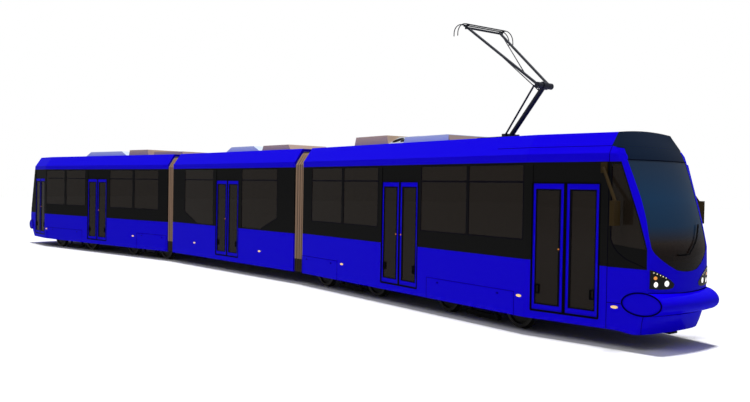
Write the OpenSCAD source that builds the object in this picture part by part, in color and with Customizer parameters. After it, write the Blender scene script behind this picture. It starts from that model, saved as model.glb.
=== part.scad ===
// Three-section articulated tram, doors on the right side only, standing on a right-hand curve.
// Millimetres. +X is forward, +Y is left, +Z is up. Heights are counted from the rail tread.
// Each section is drawn straight in its own frame and set on the curve about its pivot.

/* [Train] */
// Distance between the two section pivots
pivot_gap = 6650; // [6000:10:8000]
// From a pivot to the end of the section beside it
end_gap = 250; // [200:10:320]
// Width over the side walls
body_w = 2350; // [2200:10:2650]
// Turn of the front section to the right at rest, degrees
bend_front = 5.8; // [0:0.1:20]
// Turn of the rear section to the right at rest, degrees
bend_rear = 9.1; // [0:0.1:20]
// Shift of the whole train so the frame origin lies under its middle
datum_x = 14; // [-500:1:500]
// Sideways shift of the whole train
datum_y = 587; // [-1500:1:1500]

/* [Walls] */
// Thickness of a side wall
wall = 70; // [50:5:100]
// Thickness of the roof
roof_t = 70; // [50:5:100]
// Thickness of an end portal
portal_t = 60; // [40:5:90]
// Width of the gangway opening
gang_w = 1300; // [1000:10:1500]
// Top of the gangway opening
gang_top = 2700; // [2500:10:2780]
// Thickness of the glass
glass_t = 12; // [6:1:20]
// How far the glass lies behind the outer face
glass_in = 6; // [2:1:20]

/* [Heights] */
// Bottom of the side skirts
skirt_z = 260; // [200:5:320]
// Bottom of the door leaves
door_z = 397; // [350:1:450]
// Top of the door leaves and of the lower panes
head_z = 2410; // [2300:5:2480]
// Bottom of the vent panes
vent_z = 2437; // [2420:1:2500]
// Top of the vent panes
vent_top = 2700; // [2600:5:2730]
// Sill of the windows of the outer sections
sill_z = 1505; // [1400:5:1600]
// Sill of the windows of the middle section
low_sill_z = 1195; // [1150:5:1300]
// Edge between side and roof
gutter_z = 2860; // [2780:5:2950]
// Top of the roof skin
roof_z = 3190; // [3100:5:3300]
// How far the roof edge lies inside the side
roof_in = 230; // [150:5:300]
// Floor of the outer sections and of the middle section's ends
floor_z = 900; // [850:5:1000]
// Low floor of the middle section
low_floor_z = 400; // [340:5:450]
// Thickness of a floor
floor_t = 120; // [80:5:140]

/* [Front section] */
// Where the side begins to taper
taper_x = 7250; // [7000:10:7400]
// Taper of the sides towards the cab, degrees
taper_front = 11.9; // [6:0.1:14]
// Middle of the second door
door2_x = 3930; // [3800:1:4000]
// Wall between the start of the taper and the first door
door1_post = 115; // [80:1:150]
// Wall between the first door and the seam of the cab
seam_post = 133; // [110:1:200]
// Width of a door opening
door_w = 1150; // [1000:10:1250]

/* [Rear section] */
// Where the side begins to taper, back from the rear pivot
tail_taper_x = 7520; // [7400:10:7600]
// Taper of the sides towards the tail, degrees
taper_rear = 12.1; // [6:0.1:14]
// Middle of the fourth door, back from the rear pivot
door4_x = 4138; // [4000:1:4200]
// Wall between the start of the taper and the last door
door5_post = 125; // [80:1:150]
// Wall between the last door and the seam of the tail
tail_post = 75; // [60:1:150]

/* [Nose] */
// Forward bulge of the nose between its corners
nose_bulge = 150; // [100:5:240]
// Thickness of the nose shell
nose_t = 60; // [40:5:80]
// Lowest point of the windscreen
screen_low = 1140; // [1050:5:1200]
// Seam between windscreen and roof fairing
fairing_z = 2770; // [2720:5:2800]
// Middle height of the bumper
bump_z = 680; // [650:5:780]
// Half height of the bumper
bump_h = 172; // [130:1:200]
// Half depth of the bumper
bump_d = 288; // [200:1:320]
// Half depth of the tail bumper
tail_bump_d = 220; // [150:5:240]
// Bow of the bumpers between their ends
bump_sag = 85; // [40:1:140]
// How far the bumper ends stand out of the sides
bump_proud = 14; // [5:1:30]

/* [Running gear] */
// Wheel diameter on the tread
wheel_d = 654; // [600:1:700]
// Flange height
flange_h = 26; // [20:1:30]
// Track gauge
gauge = 1435; // [1000:1:1524]
// Width of a wheel with its flange
wheel_w = 120; // [100:1:140]
// Distance between the axles of a bogie
wheelbase = 1900; // [1600:10:1950]
// Axle diameter
axle_d = 140; // [100:5:180]
// Pivot of the outer bogies from the section pivot
bogie_far = 5916; // [5850:1:5960]
// Pivot of the last bogie from the rear pivot
tail_bogie_far = 6131; // [6100:1:6180]
// Pivot of the inner bogies from the section pivot
bogie_near = 1660; // [1640:10:1800]
// Turn of the bogies in their sections at rest, degrees
bogie_turn = 2.4; // [0:0.1:4]

/* [Towing] */
// Tow bore ahead of the cab seam
tow_dx = 472; // [440:1:490]
// Tow bore behind the tail seam
tail_tow_dx = 250; // [200:1:300]
// Bottom of the tow plate
tow_z = 190; // [170:1:215]
// Thickness of the tow plate
tow_t = 30; // [20:1:40]
// Radius of the tow bore
tow_r = 25; // [15:0.5:30]

/* [Pantograph] */
// Pivot of the lower arm along the front section
pan_x = 5735; // [5600:1:5900]
// Height of that pivot
pan_z = 3280; // [3270:1:3350]
// Length of the lower arm
pan_low = 1165; // [1000:5:1300]
// Rise of the lower arm at rest, degrees
pan_low_a = 47.2; // [20:0.1:58]
// Length of the upper arm
pan_up = 1953; // [1800:1:2200]
// Rise of the upper arm at rest, degrees
pan_up_a = 37.9; // [10:0.1:50]
// Length of the strips between the horns
pan_strip = 1050; // [900:10:1400]
// Pivot of the coupling rod ahead of the lower arm's pivot
rod_dx = 103; // [80:1:150]
// Length of the coupling rod
rod_len = 1085; // [1000:1:1100]
// Rise of the coupling rod at rest, degrees
rod_a = 51.15; // [20:0.05:60]

/* [Seats] */
// Width of a seat
seat_w = 440; // [400:5:480]
// Depth of a seat
seat_d = 430; // [380:5:480]
// Height of a seat over its floor
seat_h = 450; // [400:5:480]
// Height of a seat's back over its floor
seat_back_h = 1050; // [900:10:1150]
// Gap between a seat and the wall
seat_gap = 65; // [40:5:120]

/* [Hidden] */
half = body_w / 2;
inner = half - wall;
mid_end = pivot_gap / 2 - end_gap;
leaf_gap = 12;
leaf_top_gap = 6;
outer_stile = 60;
inner_stile = 86;
leaf_rail = 95;
tilt_f = tan(taper_front);
tilt_r = tan(taper_rear);
door1_u = door1_post + door_w / 2;
seam_x = taper_x + (door1_u + door_w / 2 + seam_post) * cos(taper_front);
roof_end_x = seam_x - 18;
door5_u = door5_post + door_w / 2;
tail_seam_x = tail_taper_x + (door5_u + door_w / 2 + tail_post) * cos(taper_rear);
tow_x = seam_x + tow_dx;
tail_tow_x = tail_seam_x + tail_tow_dx;
seat_y = inner - seat_gap - seat_w / 2;
rest_gap = 0.3;
wheel_r = wheel_d / 2;
knee_x = pan_x + pan_low * cos(pan_low_a);
knee_z = pan_z + pan_low * sin(pan_low_a);
head_x = knee_x - pan_up * cos(pan_up_a);
head_pz = knee_z + pan_up * sin(pan_up_a);
blue = [0.09, 0.0, 0.72];
black = [0.08, 0.08, 0.08];
steel = [0.35, 0.35, 0.36];
grey = [0.6, 0.58, 0.52];
$fn = 48;

// Columns of the pane tables: start, end, sill
P_START = 0;
P_END = 1;
P_SILL = 2;
front_panes = [[640, 1890, sill_z], [1962, 3215, sill_z], [4598, 5850, sill_z], [5905, 7185, sill_z]];
front_left_panes = concat(front_panes, [[3365, 4535, sill_z]]);
rear_panes = [[725, 1990, sill_z], [2085, 3375, sill_z], [4870, 6108, sill_z], [6218, 7484, sill_z]];
rear_left_panes = concat(rear_panes, [[3470, 4735, sill_z]]);
left_end_pane = [door1_post, door1_post + door_w, sill_z];
tail_left_pane = [door5_post, door5_post + door_w, sill_z];
mid_left_pane = [[-590, 590, low_sill_z]];

// Columns of the bogie table: section sign, distance from the section pivot, turn at rest, motors
B_SIGN = 0;
B_X = 1;
B_TURN = 2;
B_MOTORS = 3;
bogies = [[1, bogie_far, -bogie_turn, 1], [1, bogie_near, bogie_turn, 0],
          [-1, bogie_near, -bogie_turn, 0], [-1, tail_bogie_far, bogie_turn, 1]];

// Placing

module at_datum() { translate([datum_x, datum_y, flange_h]) children(); }

module on_front() {
  at_datum() translate([pivot_gap / 2, 0, 0]) rotate([0, 0, -bend_front]) children();
}

module on_rear() {
  at_datum() translate([-pivot_gap / 2, 0, 0]) rotate([0, 0, bend_rear]) children();
}

module on_section(sign) {
  if (sign > 0) on_front() children();
  if (sign < 0) on_rear() children();
}

module on_bogie(b) {
  on_section(b[B_SIGN]) translate([b[B_SIGN] * b[B_X], 0, 0]) rotate([0, 0, b[B_TURN]]) children();
}

// Rear pieces are drawn forward from the pivot and turned about; sides swap by mirror
module tail_way() { mirror([1, 0, 0]) children(); }

module box(x0, x1, y0, y1, z0, z1) { translate([x0, y0, z0]) cube([x1 - x0, y1 - y0, z1 - z0]); }

// Walls

// Plan of a right side wall that runs straight and then tapers in
module side_plan(x0, xt, x1, tilt) {
  y1 = -half + (x1 - xt) * tilt;
  polygon([[x0, -half], [xt, -half], [x1, y1], [x1, y1 + wall], [xt, -half + wall], [x0, -half + wall]]);
}

// Lower and vent opening of one pane between two planes across a right side wall
module pane_cut(p, y0, y1) {
  box(p[P_START], p[P_END], y0, y1, p[P_SILL], head_z);
  box(p[P_START], p[P_END], y0, y1, vent_z, vent_top);
}

module along_taper(xt, angle) { translate([xt, -half, 0]) rotate([0, 0, angle]) children(); }

module door_cut(d) { box(-door_w / 2, door_w / 2, -d, wall + d, door_z, vent_top); }

// Opening for the glass in one leaf of a door pair, drawn for the leaf on the positive side
module leaf_window(y0, y1) {
  leaf = (door_w - leaf_gap) / 2;
  box(leaf_gap / 2 + inner_stile, leaf_gap / 2 + leaf - outer_stile, y0, y1, door_z + leaf_rail, head_z - leaf_top_gap - leaf_rail);
}

// Door pair in a wall whose outer face is y = 0: two framed leaves and the fixed header above them
module door_leaves() {
  leaf = (door_w - leaf_gap) / 2;
  for (s = [0, 1]) mirror([s, 0, 0]) difference() {
    box(leaf_gap / 2, leaf_gap / 2 + leaf, 12, 52, door_z, head_z - leaf_top_gap);
    leaf_window(0, 60);
  }
}

module door_header() { box(-door_w / 2, door_w / 2, 12, 52, head_z, vent_top); }

module door_glass() {
  for (s = [0, 1]) mirror([s, 0, 0]) leaf_window(20, 20 + glass_t);
}

// Pane glass behind the outer face of a right side wall
module pane_glass(p) { pane_cut(p, -half + glass_in, -half + glass_in + glass_t); }

// Roof

module roof_outline(h) {
  polygon([[-h, gutter_z], [-h + roof_in, roof_z], [h - roof_in, roof_z], [h, gutter_z]]);
}

module roof_hollow(h) {
  i = h - wall;
  polygon([[-i, gutter_z - 1], [-i, gutter_z + 20], [-i + roof_in - 30, roof_z - roof_t],
           [i - roof_in + 30, roof_z - roof_t], [i, gutter_z + 20], [i, gutter_z - 1]]);
}

module yz(x0, x1) { translate([x0, 0, 0]) rotate([90, 0, 90]) linear_extrude(x1 - x0) children(); }

module roof_skin(x0, xt, x1, tilt) {
  h1 = half - (x1 - xt) * tilt;
  yz(x0, xt) difference() {
    roof_outline(half);
    roof_hollow(half);
  }
  if (x1 > xt) difference() {
    hull() {
      yz(xt, xt + 0.01) roof_outline(half);
      yz(x1 - 0.01, x1) roof_outline(h1);
    }
    hull() {
      yz(xt - 1, xt) roof_hollow(half);
      yz(x1, x1 + 1) roof_hollow(h1);
    }
  }
}

// End portal at the gangway, between the walls, floor and roof
module portal(x0, low) {
  yz(x0, x0 + portal_t) difference() {
    polygon([[-inner, low], [-inner, gutter_z + 20], [-inner + roof_in - 30, roof_z - roof_t],
             [inner - roof_in + 30, roof_z - roof_t], [inner, gutter_z + 20], [inner, low]]);
    translate([-gang_w / 2, low - 1]) square([gang_w, gang_top - low + 1]);
  }
}

// Outer section floor, drawn forward from the pivot

module floor_plan(xt, x1, tilt) {
  y1 = inner - (x1 - xt) * tilt;
  polygon([[end_gap, -inner], [xt, -inner], [x1, -y1], [x1, y1], [xt, inner], [end_gap, inner]]);
}

// Stair in a doorway, outer wall face at y = 0
module stair() {
  w = door_w - 4;
  rotate([90, 0, 90]) translate([0, 0, -w / 2]) linear_extrude(w)
    polygon([[wall, door_z - 45], [wall, door_z], [wall + 270, door_z], [wall + 270, 650], [wall + 540, 650],
             [wall + 540, floor_z], [wall + 580, floor_z], [wall + 580, 605], [wall + 310, 605],
             [wall + 310, door_z - 45]]);
}

module stair_cut() { box(-door_w / 2, door_w / 2, 0, wall + 580, floor_z - 700, floor_z + 1); }

// Drawbar arm from a section end to the pivot
module pivot_arm(z0, z1) {
  box(0, end_gap + 110, -160, 160, z0, z1);
  translate([0, 0, z0]) cylinder(r = 200, h = z1 - z0);
}

pivot_low = 520;
pivot_mid = 590;
pivot_top = 660;
pin_r = 70;
pin_clear = 0.5;

module outer_floor(xt, x1, tilt, angle, door_x, door_u, far_x) {
  difference() {
    union() {
      translate([0, 0, floor_z - floor_t]) linear_extrude(floor_t) floor_plan(xt, x1, tilt);
      // Cross beams over the bogie pivots
      for (x = [bogie_near, far_x]) box(x - 220, x + 220, -inner, inner, floor_z - floor_t - 20, floor_z - floor_t);
    }
    translate([door_x, -half, 0]) stair_cut();
    along_taper(xt, angle) translate([door_u, 0, 0]) stair_cut();
  }
}

// What hangs under an outer section's floor: stairs, equipment case, tow bracket and the arm to the section pivot
module underframe(xt, x1, tilt, angle, door_x, door_u, bore_x) {
  translate([door_x, -half, 0]) stair();
  intersection() {
    along_taper(xt, angle) translate([door_u, 0, 0]) stair();
    linear_extrude(floor_z) floor_plan(xt, x1, tilt);
  }
  // Case between the bogies, left of the stairs
  box(3150, 4420, -400, inner - 155, 330, floor_z - floor_t);
  // Tow bracket with its jacking foot
  difference() {
    union() {
      box(bore_x - 480, bore_x - 360, -100, 100, tow_z, floor_z - floor_t);
      box(bore_x - 560, bore_x + 70, -100, 100, tow_z, tow_z + tow_t);
    }
    translate([bore_x, 0, tow_z - 1]) cylinder(r = tow_r, h = tow_t + 2);
  }
  // Arm to the section pivot
  difference() {
    union() {
      pivot_arm(pivot_mid, pivot_top);
      box(end_gap + 20, end_gap + 80, -160, 160, pivot_top, floor_z - floor_t);
    }
    translate([0, 0, pivot_mid - 1]) cylinder(r = pin_r + pin_clear, h = pivot_top - pivot_mid + 2);
  }
}

// Middle section floor with steps up to its ends
module mid_floor_shape() {
  t = 100;
  steps = [[mid_end, floor_z], [1990, floor_z], [1990, 733], [1690, 733], [1690, 566], [1390, 566],
           [1390, low_floor_z]];
  under = [[1450, low_floor_z - t], [1450, 566 - t], [1750, 566 - t], [1750, 733 - t], [2050, 733 - t],
           [2050, floor_z - t], [mid_end, floor_z - t]];
  back = [for (i = [len(steps) - 1 : -1 : 0]) [-steps[i][0], steps[i][1]]];
  back_under = [for (i = [len(under) - 1 : -1 : 0]) [-under[i][0], under[i][1]]];
  rotate([90, 0, 0]) translate([0, 0, -inner]) linear_extrude(2 * inner)
    polygon(concat(steps, back, back_under, under));
  for (s = [-1, 1]) translate([s * pivot_gap / 2, 0, 0]) rotate([0, 0, s > 0 ? 180 : 0]) {
    pivot_arm(pivot_low, pivot_mid - rest_gap);
    // Pin through the other section's arm
    translate([0, 0, pivot_low]) cylinder(r = pin_r, h = pivot_top - pivot_low + 40);
    // Web from the arm up to the raised end floor
    box(end_gap + 20, end_gap + 90, -160, 160, pivot_low, floor_z - t);
    // Gangway plate resting on this floor and reaching over the next one
    box(end_gap, end_gap + 160, -480, 480, floor_z, floor_z + 6);
    intersection() {
      translate([0, 0, floor_z + 6]) cylinder(r = 520, h = 12);
      box(-600, end_gap + 160, -480, 480, floor_z, floor_z + 30);
    }
  }
}

// Gaiter between the middle section and an outer section; it fans out on the curve

pleats = 12;

// Arch of one fold from the right foot over the roof to the left foot, d inside the outer line
function fold_arch(grow, d) = let (h = half - 45 + grow - d, top = 3040 + grow - d)
  [[-h, skirt_z + 15], [-h, gutter_z - 30 - d / 2], [-h + 190, top], [h - 190, top], [h, gutter_z - 30 - d / 2], [h, skirt_z + 15]];
function turned(p, a) = [p[0] * cos(a) - p[1] * sin(a), p[0] * sin(a) + p[1] * cos(a), p[2]];

// Drawn with the fixed section at negative x, the turned one at positive x
module gaiter(turn) {
  m = 2 * pleats;
  arch = 6;
  points = [for (k = [0 : m]) let (g = k % 2 == 0 ? 0 : 40)
    each [for (q = concat(fold_arch(g, 0), fold_arch(g, 50)))
      turned([(end_gap - 1) * (2 * k / m - 1), q[0], q[1]], turn * k / m)]];
  n = 2 * arch;
  function at(k, i) = k * n + i;
  outer = [for (k = [0 : m - 1], i = [0 : arch - 2])
    each [[at(k, i), at(k, i + 1), at(k + 1, i)], [at(k, i + 1), at(k + 1, i + 1), at(k + 1, i)]]];
  inside = [for (k = [0 : m - 1], i = [arch : n - 2])
    each [[at(k, i), at(k + 1, i), at(k, i + 1)], [at(k, i + 1), at(k + 1, i), at(k + 1, i + 1)]]];
  feet = [for (k = [0 : m - 1])
    each [[at(k, 0), at(k + 1, 0), at(k, arch)], [at(k, arch), at(k + 1, 0), at(k + 1, arch)],
          [at(k, arch - 1), at(k, n - 1), at(k + 1, arch - 1)], [at(k, n - 1), at(k + 1, n - 1), at(k + 1, arch - 1)]]];
  caps = [for (i = [0 : arch - 2])
    each [[at(0, i), at(0, arch + i), at(0, arch + i + 1), at(0, i + 1)],
          [at(m, i), at(m, i + 1), at(m, arch + i + 1), at(m, arch + i)]]];
  polyhedron(points = points, faces = concat(outer, inside, feet, caps));
}

// Nose and tail shells

// Columns of the end tables: height, corner x, bulge of the front between the corners
E_Z = 0;
E_X = 1;
E_BULGE = 2;
function from_seam(x0, rows) = [for (r = rows) [r[E_Z], x0 + r[E_X], r[E_BULGE]]];
nose_rows = from_seam(seam_x, [[skirt_z, 482, 70], [420, 542, 110], [560, 577, 140], [930, 604, nose_bulge],
  [1200, 604, nose_bulge], [1455, 585, nose_bulge], [1760, 517, nose_bulge], [2064, 426, nose_bulge],
  [2400, 307, nose_bulge], [2730, 178, nose_bulge], [gutter_z, 124, 140], [3000, 70, 100], [3110, 24, 50],
  [roof_z, -8, 6]]);
tail_rows = from_seam(tail_seam_x, [[skirt_z, 150, 60], [470, 330, 80], [700, 500, 100], [866, 562, 110],
  [1233, 526, 120], [1760, 375, 120], [2300, 220, 115], [gutter_z, 55, 90], [3060, 50, 60], [roof_z, 45, 30]]);
arc_steps = 12;

function edge_in(z) = max(0, z - gutter_z) * roof_in / (roof_z - gutter_z);
function wall_y(x, xt, tilt) = half - (x - xt) * tilt;
function row_ring(r, xb, xt, tilt, inset) = let (
  yb = wall_y(xb, xt, tilt) - edge_in(r[E_Z]) - inset,
  yc = wall_y(r[E_X], xt, tilt) - edge_in(r[E_Z]) - inset,
  xc = r[E_X] - inset)
  concat([[xb, -yb, r[E_Z]]],
    [for (i = [0 : arc_steps]) let (s = -1 + 2 * i / arc_steps)
      [xc + r[E_BULGE] * (1 - s * s), yc * s, r[E_Z]]],
    [[xb, yb, r[E_Z]]]);

// Solid through the rings of a table, back face at xb
module end_body(rows, xb, xt, tilt, inset) {
  n = arc_steps + 3;
  rings = [for (r = rows) row_ring(r, xb, xt, tilt, inset)];
  points = [for (ring = rings, p = ring) p];
  m = len(rows);
  walls = [for (j = [0 : m - 2], i = [0 : n - 1]) let (a = j * n + i, b = j * n + (i + 1) % n)
    each [[a, a + n, b], [b, a + n, b + n]]];
  low = [for (i = [0 : n - 1]) i];
  top = [for (i = [n - 1 : -1 : 0]) (m - 1) * n + i];
  polyhedron(points = points, faces = concat(walls, [low], [top]));
}

function stretched(rows, d) = [for (i = [0 : len(rows) - 1])
  let (e = i == 0 ? -d : (i == len(rows) - 1 ? d : 0)) [rows[i][E_Z] + e, rows[i][E_X], rows[i][E_BULGE]]];

module end_shell(rows, xb, xt, tilt, t) {
  difference() {
    end_body(rows, xb, xt, tilt, 0);
    end_body(stretched(rows, 1), xb - 120, xt, tilt, t);
  }
}

// The same with a closed top, level with the roof's underside
module capped_shell(rows, xb, xt, tilt, t) {
  difference() {
    end_body(rows, xb, xt, tilt, 0);
    intersection() {
      end_body(stretched(rows, 1), xb - 120, xt, tilt, t);
      box(xb - 130, xb + 1500, -1500, 1500, 0, roof_z - roof_t);
    }
  }
}

// Columns of the windscreen's edge: height over its lowest point, half width
S_Z = 0;
S_Y = 1;
screen_edge = [[0, 0], [6, 120], [25, 250], [95, 400], [188, 550], [271, 645], [342, 690], [505, 703], [748, 716],
               [1035, 732], [1366, 738], [fairing_z + 1 - screen_low, 736]];

// Outline of the windscreen seen from ahead
module screen_outline() {
  n = len(screen_edge);
  polygon(concat([for (e = screen_edge) [e[S_Y], screen_low + e[S_Z]]],
    [for (i = [n - 1 : -1 : 1]) [-screen_edge[i][S_Y], screen_low + screen_edge[i][S_Z]]]));
}

// Where the roof fairing is, seen from the side: over a line that falls from the cantrail to the windscreen's top
module fairing_side(d) {
  rotate([90, 0, 0]) translate([0, 0, -1500]) linear_extrude(3000)
    polygon([[roof_end_x - 10, 2970 + d], [seam_x + 7, 2970 + d], [seam_x + 122, 2940 + d], [seam_x + 182, 2830 + d],
             [seam_x + 204, fairing_z + d], [seam_x + 900, fairing_z + d], [seam_x + 900, 3400], [roof_end_x - 10, 3400]]);
}

module ahead(outline_x) { translate([outline_x, 0, 0]) rotate([90, 0, 90]) linear_extrude(1600) children(); }

// Side window of the cab, seen from the side
module cab_window(y0, y1) {
  rotate([90, 0, 0]) translate([0, 0, -y1]) linear_extrude(y1 - y0)
    polygon([[seam_x + 45, vent_top], [seam_x + 45, 1600], [seam_x + 85, 1500], [seam_x + 150, 1410],
             [seam_x + 281, 1314], [seam_x + 416, 1263], [seam_x + 555, 1205], [seam_x + 574, 1205],
             [seam_x + 572, 1475], [seam_x + 532, 1626], [seam_x + 457, 1888], [seam_x + 332, 2256],
             [seam_x + 181, vent_top]]);
}

// Headlamp unit outline seen from ahead, right one
module lamp_outline() {
  polygon([[-775, 906], [-775, 1186], [-735, 1184], [-664, 1168], [-525, 1108], [-390, 1036], [-306, 974],
           [-312, 932], [-345, 908], [-420, 896], [-560, 896]]);
}

module lamp_pair() {
  for (s = [0, 1]) mirror([0, s, 0]) ahead(seam_x + 282) lamp_outline();
}

// Bumper: an oval bar on a wide arc, cut by the side planes; its ends lie at end_x
module bumper_bar(end_x, depth, xt, tilt) {
  n = 30;
  w = wall_y(end_x, xt, tilt);
  path_r = (w * w + bump_sag * bump_sag) / (2 * bump_sag);
  path_x = end_x + bump_sag;
  intersection() {
    translate([path_x - path_r, 0, bump_z]) rotate([0, 0, -20]) rotate_extrude(angle = 40, $fn = 720)
      polygon([for (i = [0 : n - 1]) [path_r + depth * cos(360 * i / n), bump_h * sin(360 * i / n)]]);
    linear_extrude(2000) polygon([for (e = [[-900, -1], [700, -1], [700, 1], [-900, 1]])
      [end_x + e[0], e[1] * (wall_y(end_x + e[0], xt, tilt) + bump_proud)]]);
  }
}

module nose_bumper_bar() { bumper_bar(seam_x + 533, bump_d, taper_x, tilt_f); }

module tail_bumper_bar() { bumper_bar(tail_seam_x + 427, tail_bump_d, tail_taper_x, tilt_r); }

// Seats

module seat() {
  box(0, seat_d, -seat_w / 2, seat_w / 2, seat_h - 50, seat_h);
  box(-40, 20, -seat_w / 2, seat_w / 2, seat_h - 50, seat_back_h);
  box(0.28 * seat_d, 0.7 * seat_d, -60, 60, 0, seat_h - 50);
}

module seats_at(list, side, base) {
  for (x = list) translate([x, side * seat_y, base]) seat();
}

// Roof boxes: start, end, half width, height over the roof

module roof_case(x0, x1, hw, h, slope) {
  rotate([90, 0, 0]) translate([0, 0, -hw]) linear_extrude(2 * hw)
    polygon([[x0, roof_z], [x0 + slope, roof_z + h], [x1 - slope, roof_z + h], [x1, roof_z]]);
}

// Wheelset: both wheels and the axle in one piece, axis along y
module wheelset_shape() {
  back = gauge / 2 - 37;
  tread_w = wheel_w - 30;
  rotate([-90, 0, 0]) rotate_extrude($fn = 96) {
    polygon([[0, -back - wheel_w - 10], [axle_d / 2, -back - wheel_w - 10], [axle_d / 2, -back - wheel_w],
      [150, -back - wheel_w], [150, -back - wheel_w + 15], [260, -back - wheel_w + 40], [wheel_r - 55, -back - wheel_w + 5],
      [wheel_r, -back - wheel_w + 5], [wheel_r, -back - wheel_w + tread_w], [wheel_r + flange_h, -back - 16],
      [wheel_r + flange_h, -back - 8], [wheel_r + 12, -back], [wheel_r - 60, -back], [260, -back - 45], [150, -back - 20],
      [150, -back], [axle_d / 2, -back], [axle_d / 2, back], [150, back], [150, back + 20], [260, back + 45],
      [wheel_r - 60, back], [wheel_r + 12, back], [wheel_r + flange_h, back + 8], [wheel_r + flange_h, back + 16],
      [wheel_r, back + wheel_w - tread_w], [wheel_r, back + wheel_w - 5], [wheel_r - 55, back + wheel_w - 5],
      [260, back + wheel_w - 40], [150, back + wheel_w - 15], [150, back + wheel_w], [axle_d / 2, back + wheel_w],
      [axle_d / 2, back + wheel_w + 10], [0, back + wheel_w + 10]]);
  }
}

bearing_clear = 0.5;
frame_y = 520;

// Bogie frame with inside bearings, seen from its pivot
module bogie_shape(motors) {
  difference() {
    union() {
      for (s = [-1, 1]) {
        box(-wheelbase / 2 - 140, wheelbase / 2 + 140, s * frame_y - 55, s * frame_y + 55, 400, 520);
        for (e = [-1, 1]) translate([e * wheelbase / 2, s * frame_y - 70, wheel_r]) rotate([-90, 0, 0]) cylinder(r = 125, h = 140);
      }
      // Bolster and pivot plate
      box(-230, 230, -frame_y - 55, frame_y + 55, 420, 640);
      translate([0, 0, 640]) cylinder(r = 260, h = floor_z - floor_t - 20 - rest_gap - 640);
      for (e = [-1, 1]) box(e * (wheelbase / 2 + 100) - 40, e * (wheelbase / 2 + 100) + 40, -frame_y, frame_y, 540, 600);
      for (e = [-1, 1], s = [-1, 1]) box(e * (wheelbase / 2 + 100) - 40, e * (wheelbase / 2 + 100) + 40, s * frame_y - 55, s * frame_y + 55, 500, 600);
      if (motors) for (e = [-1, 1]) {
        translate([e * 470, -380, 400]) rotate([-90, 0, 0]) cylinder(r = 200, h = 760);
        box(e * 350 - 140, e * 350 + 140, -300, 300, 430, 560);
      }
      // Track brake bars over the rails
      for (s = [-1, 1]) {
        box(-420, 420, s * 750 - 35, s * 750 + 35, 30, 110);
        for (e = [-1, 1]) box(e * 330 - 25, e * 330 + 25, s * 750 - 25, s * 750 + 25, 110, 480);
        for (e = [-1, 1]) box(e * 330 - 25, e * 330 + 25, s * 640 - 140, s * 640 + 140, 440, 480);
      }
    }
    for (e = [-1, 1]) translate([e * wheelbase / 2, -700, wheel_r]) rotate([-90, 0, 0]) cylinder(r = axle_d / 2 + bearing_clear, h = 1400);
  }
}

// Nodes: middle section

module mid_floor() { color(steel) at_datum() mid_floor_shape(); }

module mid_sides() {
  color(blue) at_datum() {
    for (s = [-1, 1]) mirror([0, s > 0 ? 1 : 0, 0]) difference() {
      box(-mid_end, mid_end, -half, -inner, skirt_z, gutter_z);
      mid_window_cut(-half - 10, -inner + 10);
      if (s < 0) translate([0, -half, 0]) door_cut(5);
      if (s > 0) pane_cut(mid_left_pane[0], -half - 10, -inner + 10);
    }
  }
}

// Windows beside the middle door, with the sill rising towards the gangways
module mid_window_cut(y0, y1) {
  for (s = [-1, 1]) mirror([s > 0 ? 1 : 0, 0, 0]) {
    rotate([90, 0, 0]) translate([0, 0, -y1]) linear_extrude(y1 - y0)
      polygon([[738, low_sill_z], [1605, low_sill_z], [2345, sill_z], [2345, head_z], [738, head_z]]);
    box(738, 2345, y0, y1, vent_z, vent_top);
  }
}

module mid_glazing() {
  color([0.2, 0.2, 0.2, 0.6]) at_datum() {
    for (s = [-1, 1]) mirror([0, s > 0 ? 1 : 0, 0]) mid_window_cut(-half + glass_in, -half + glass_in + glass_t);
    mirror([0, 1, 0]) pane_glass(mid_left_pane[0]);
    translate([0, -half, 0]) door_glass();
  }
}

module mid_doors() {
  color(blue) at_datum() translate([0, -half, 0]) {
    door_leaves();
    door_header();
  }
}

module mid_roof() { color(blue) at_datum() roof_skin(-mid_end, mid_end, mid_end, 0); }

module mid_portals() {
  color(grey) at_datum() {
    portal(mid_end - portal_t, floor_z);
    portal(-mid_end, floor_z);
  }
}

module mid_seats() {
  color(grey) at_datum() {
    for (s = [0, 1], y = [-1, 1]) mirror([s, 0, 0]) seats_at([-2420], y, floor_z);
    seats_at([-1150, -620, 200, 730], 1, low_floor_z);
  }
}

module mid_roof_box() {
  color(grey) at_datum() {
    roof_case(-1090, 700, 600, 155, 330);
    roof_case(760, 2080, 600, 150, 90);
  }
}

module gaiter_front() {
  color([0.5, 0.4, 0.33]) at_datum() translate([pivot_gap / 2, 0, 0]) gaiter(-bend_front);
}

module gaiter_rear() {
  color([0.5, 0.4, 0.33]) at_datum() translate([-pivot_gap / 2, 0, 0]) rotate([0, 0, 180]) gaiter(bend_rear);
}

// Nodes: front section

module front_floor() {
  color(steel) on_front() outer_floor(taper_x, seam_x + 280, tilt_f, taper_front, door2_x, door1_u, bogie_far);
}

module front_underframe() {
  color(steel) on_front() underframe(taper_x, seam_x + 280, tilt_f, taper_front, door2_x, door1_u, tow_x);
}

module front_sides() {
  color(blue) on_front() {
    difference() {
      translate([0, 0, skirt_z]) linear_extrude(gutter_z - skirt_z) side_plan(end_gap, taper_x, seam_x, tilt_f);
      for (p = front_panes) pane_cut(p, -half - 10, -inner + 10);
      translate([door2_x, -half, 0]) door_cut(5);
      along_taper(taper_x, taper_front) translate([door1_u, 0, 0]) door_cut(5);
    }
    mirror([0, 1, 0]) difference() {
      translate([0, 0, skirt_z]) linear_extrude(gutter_z - skirt_z) side_plan(end_gap, taper_x, seam_x, tilt_f);
      for (p = front_left_panes) pane_cut(p, -half - 10, -inner + 10);
      along_taper(taper_x, taper_front) pane_cut(left_end_pane, -10, wall + 10);
    }
  }
}

module front_roof() { color(blue) on_front() roof_skin(end_gap, taper_x, roof_end_x, tilt_f); }

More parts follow.
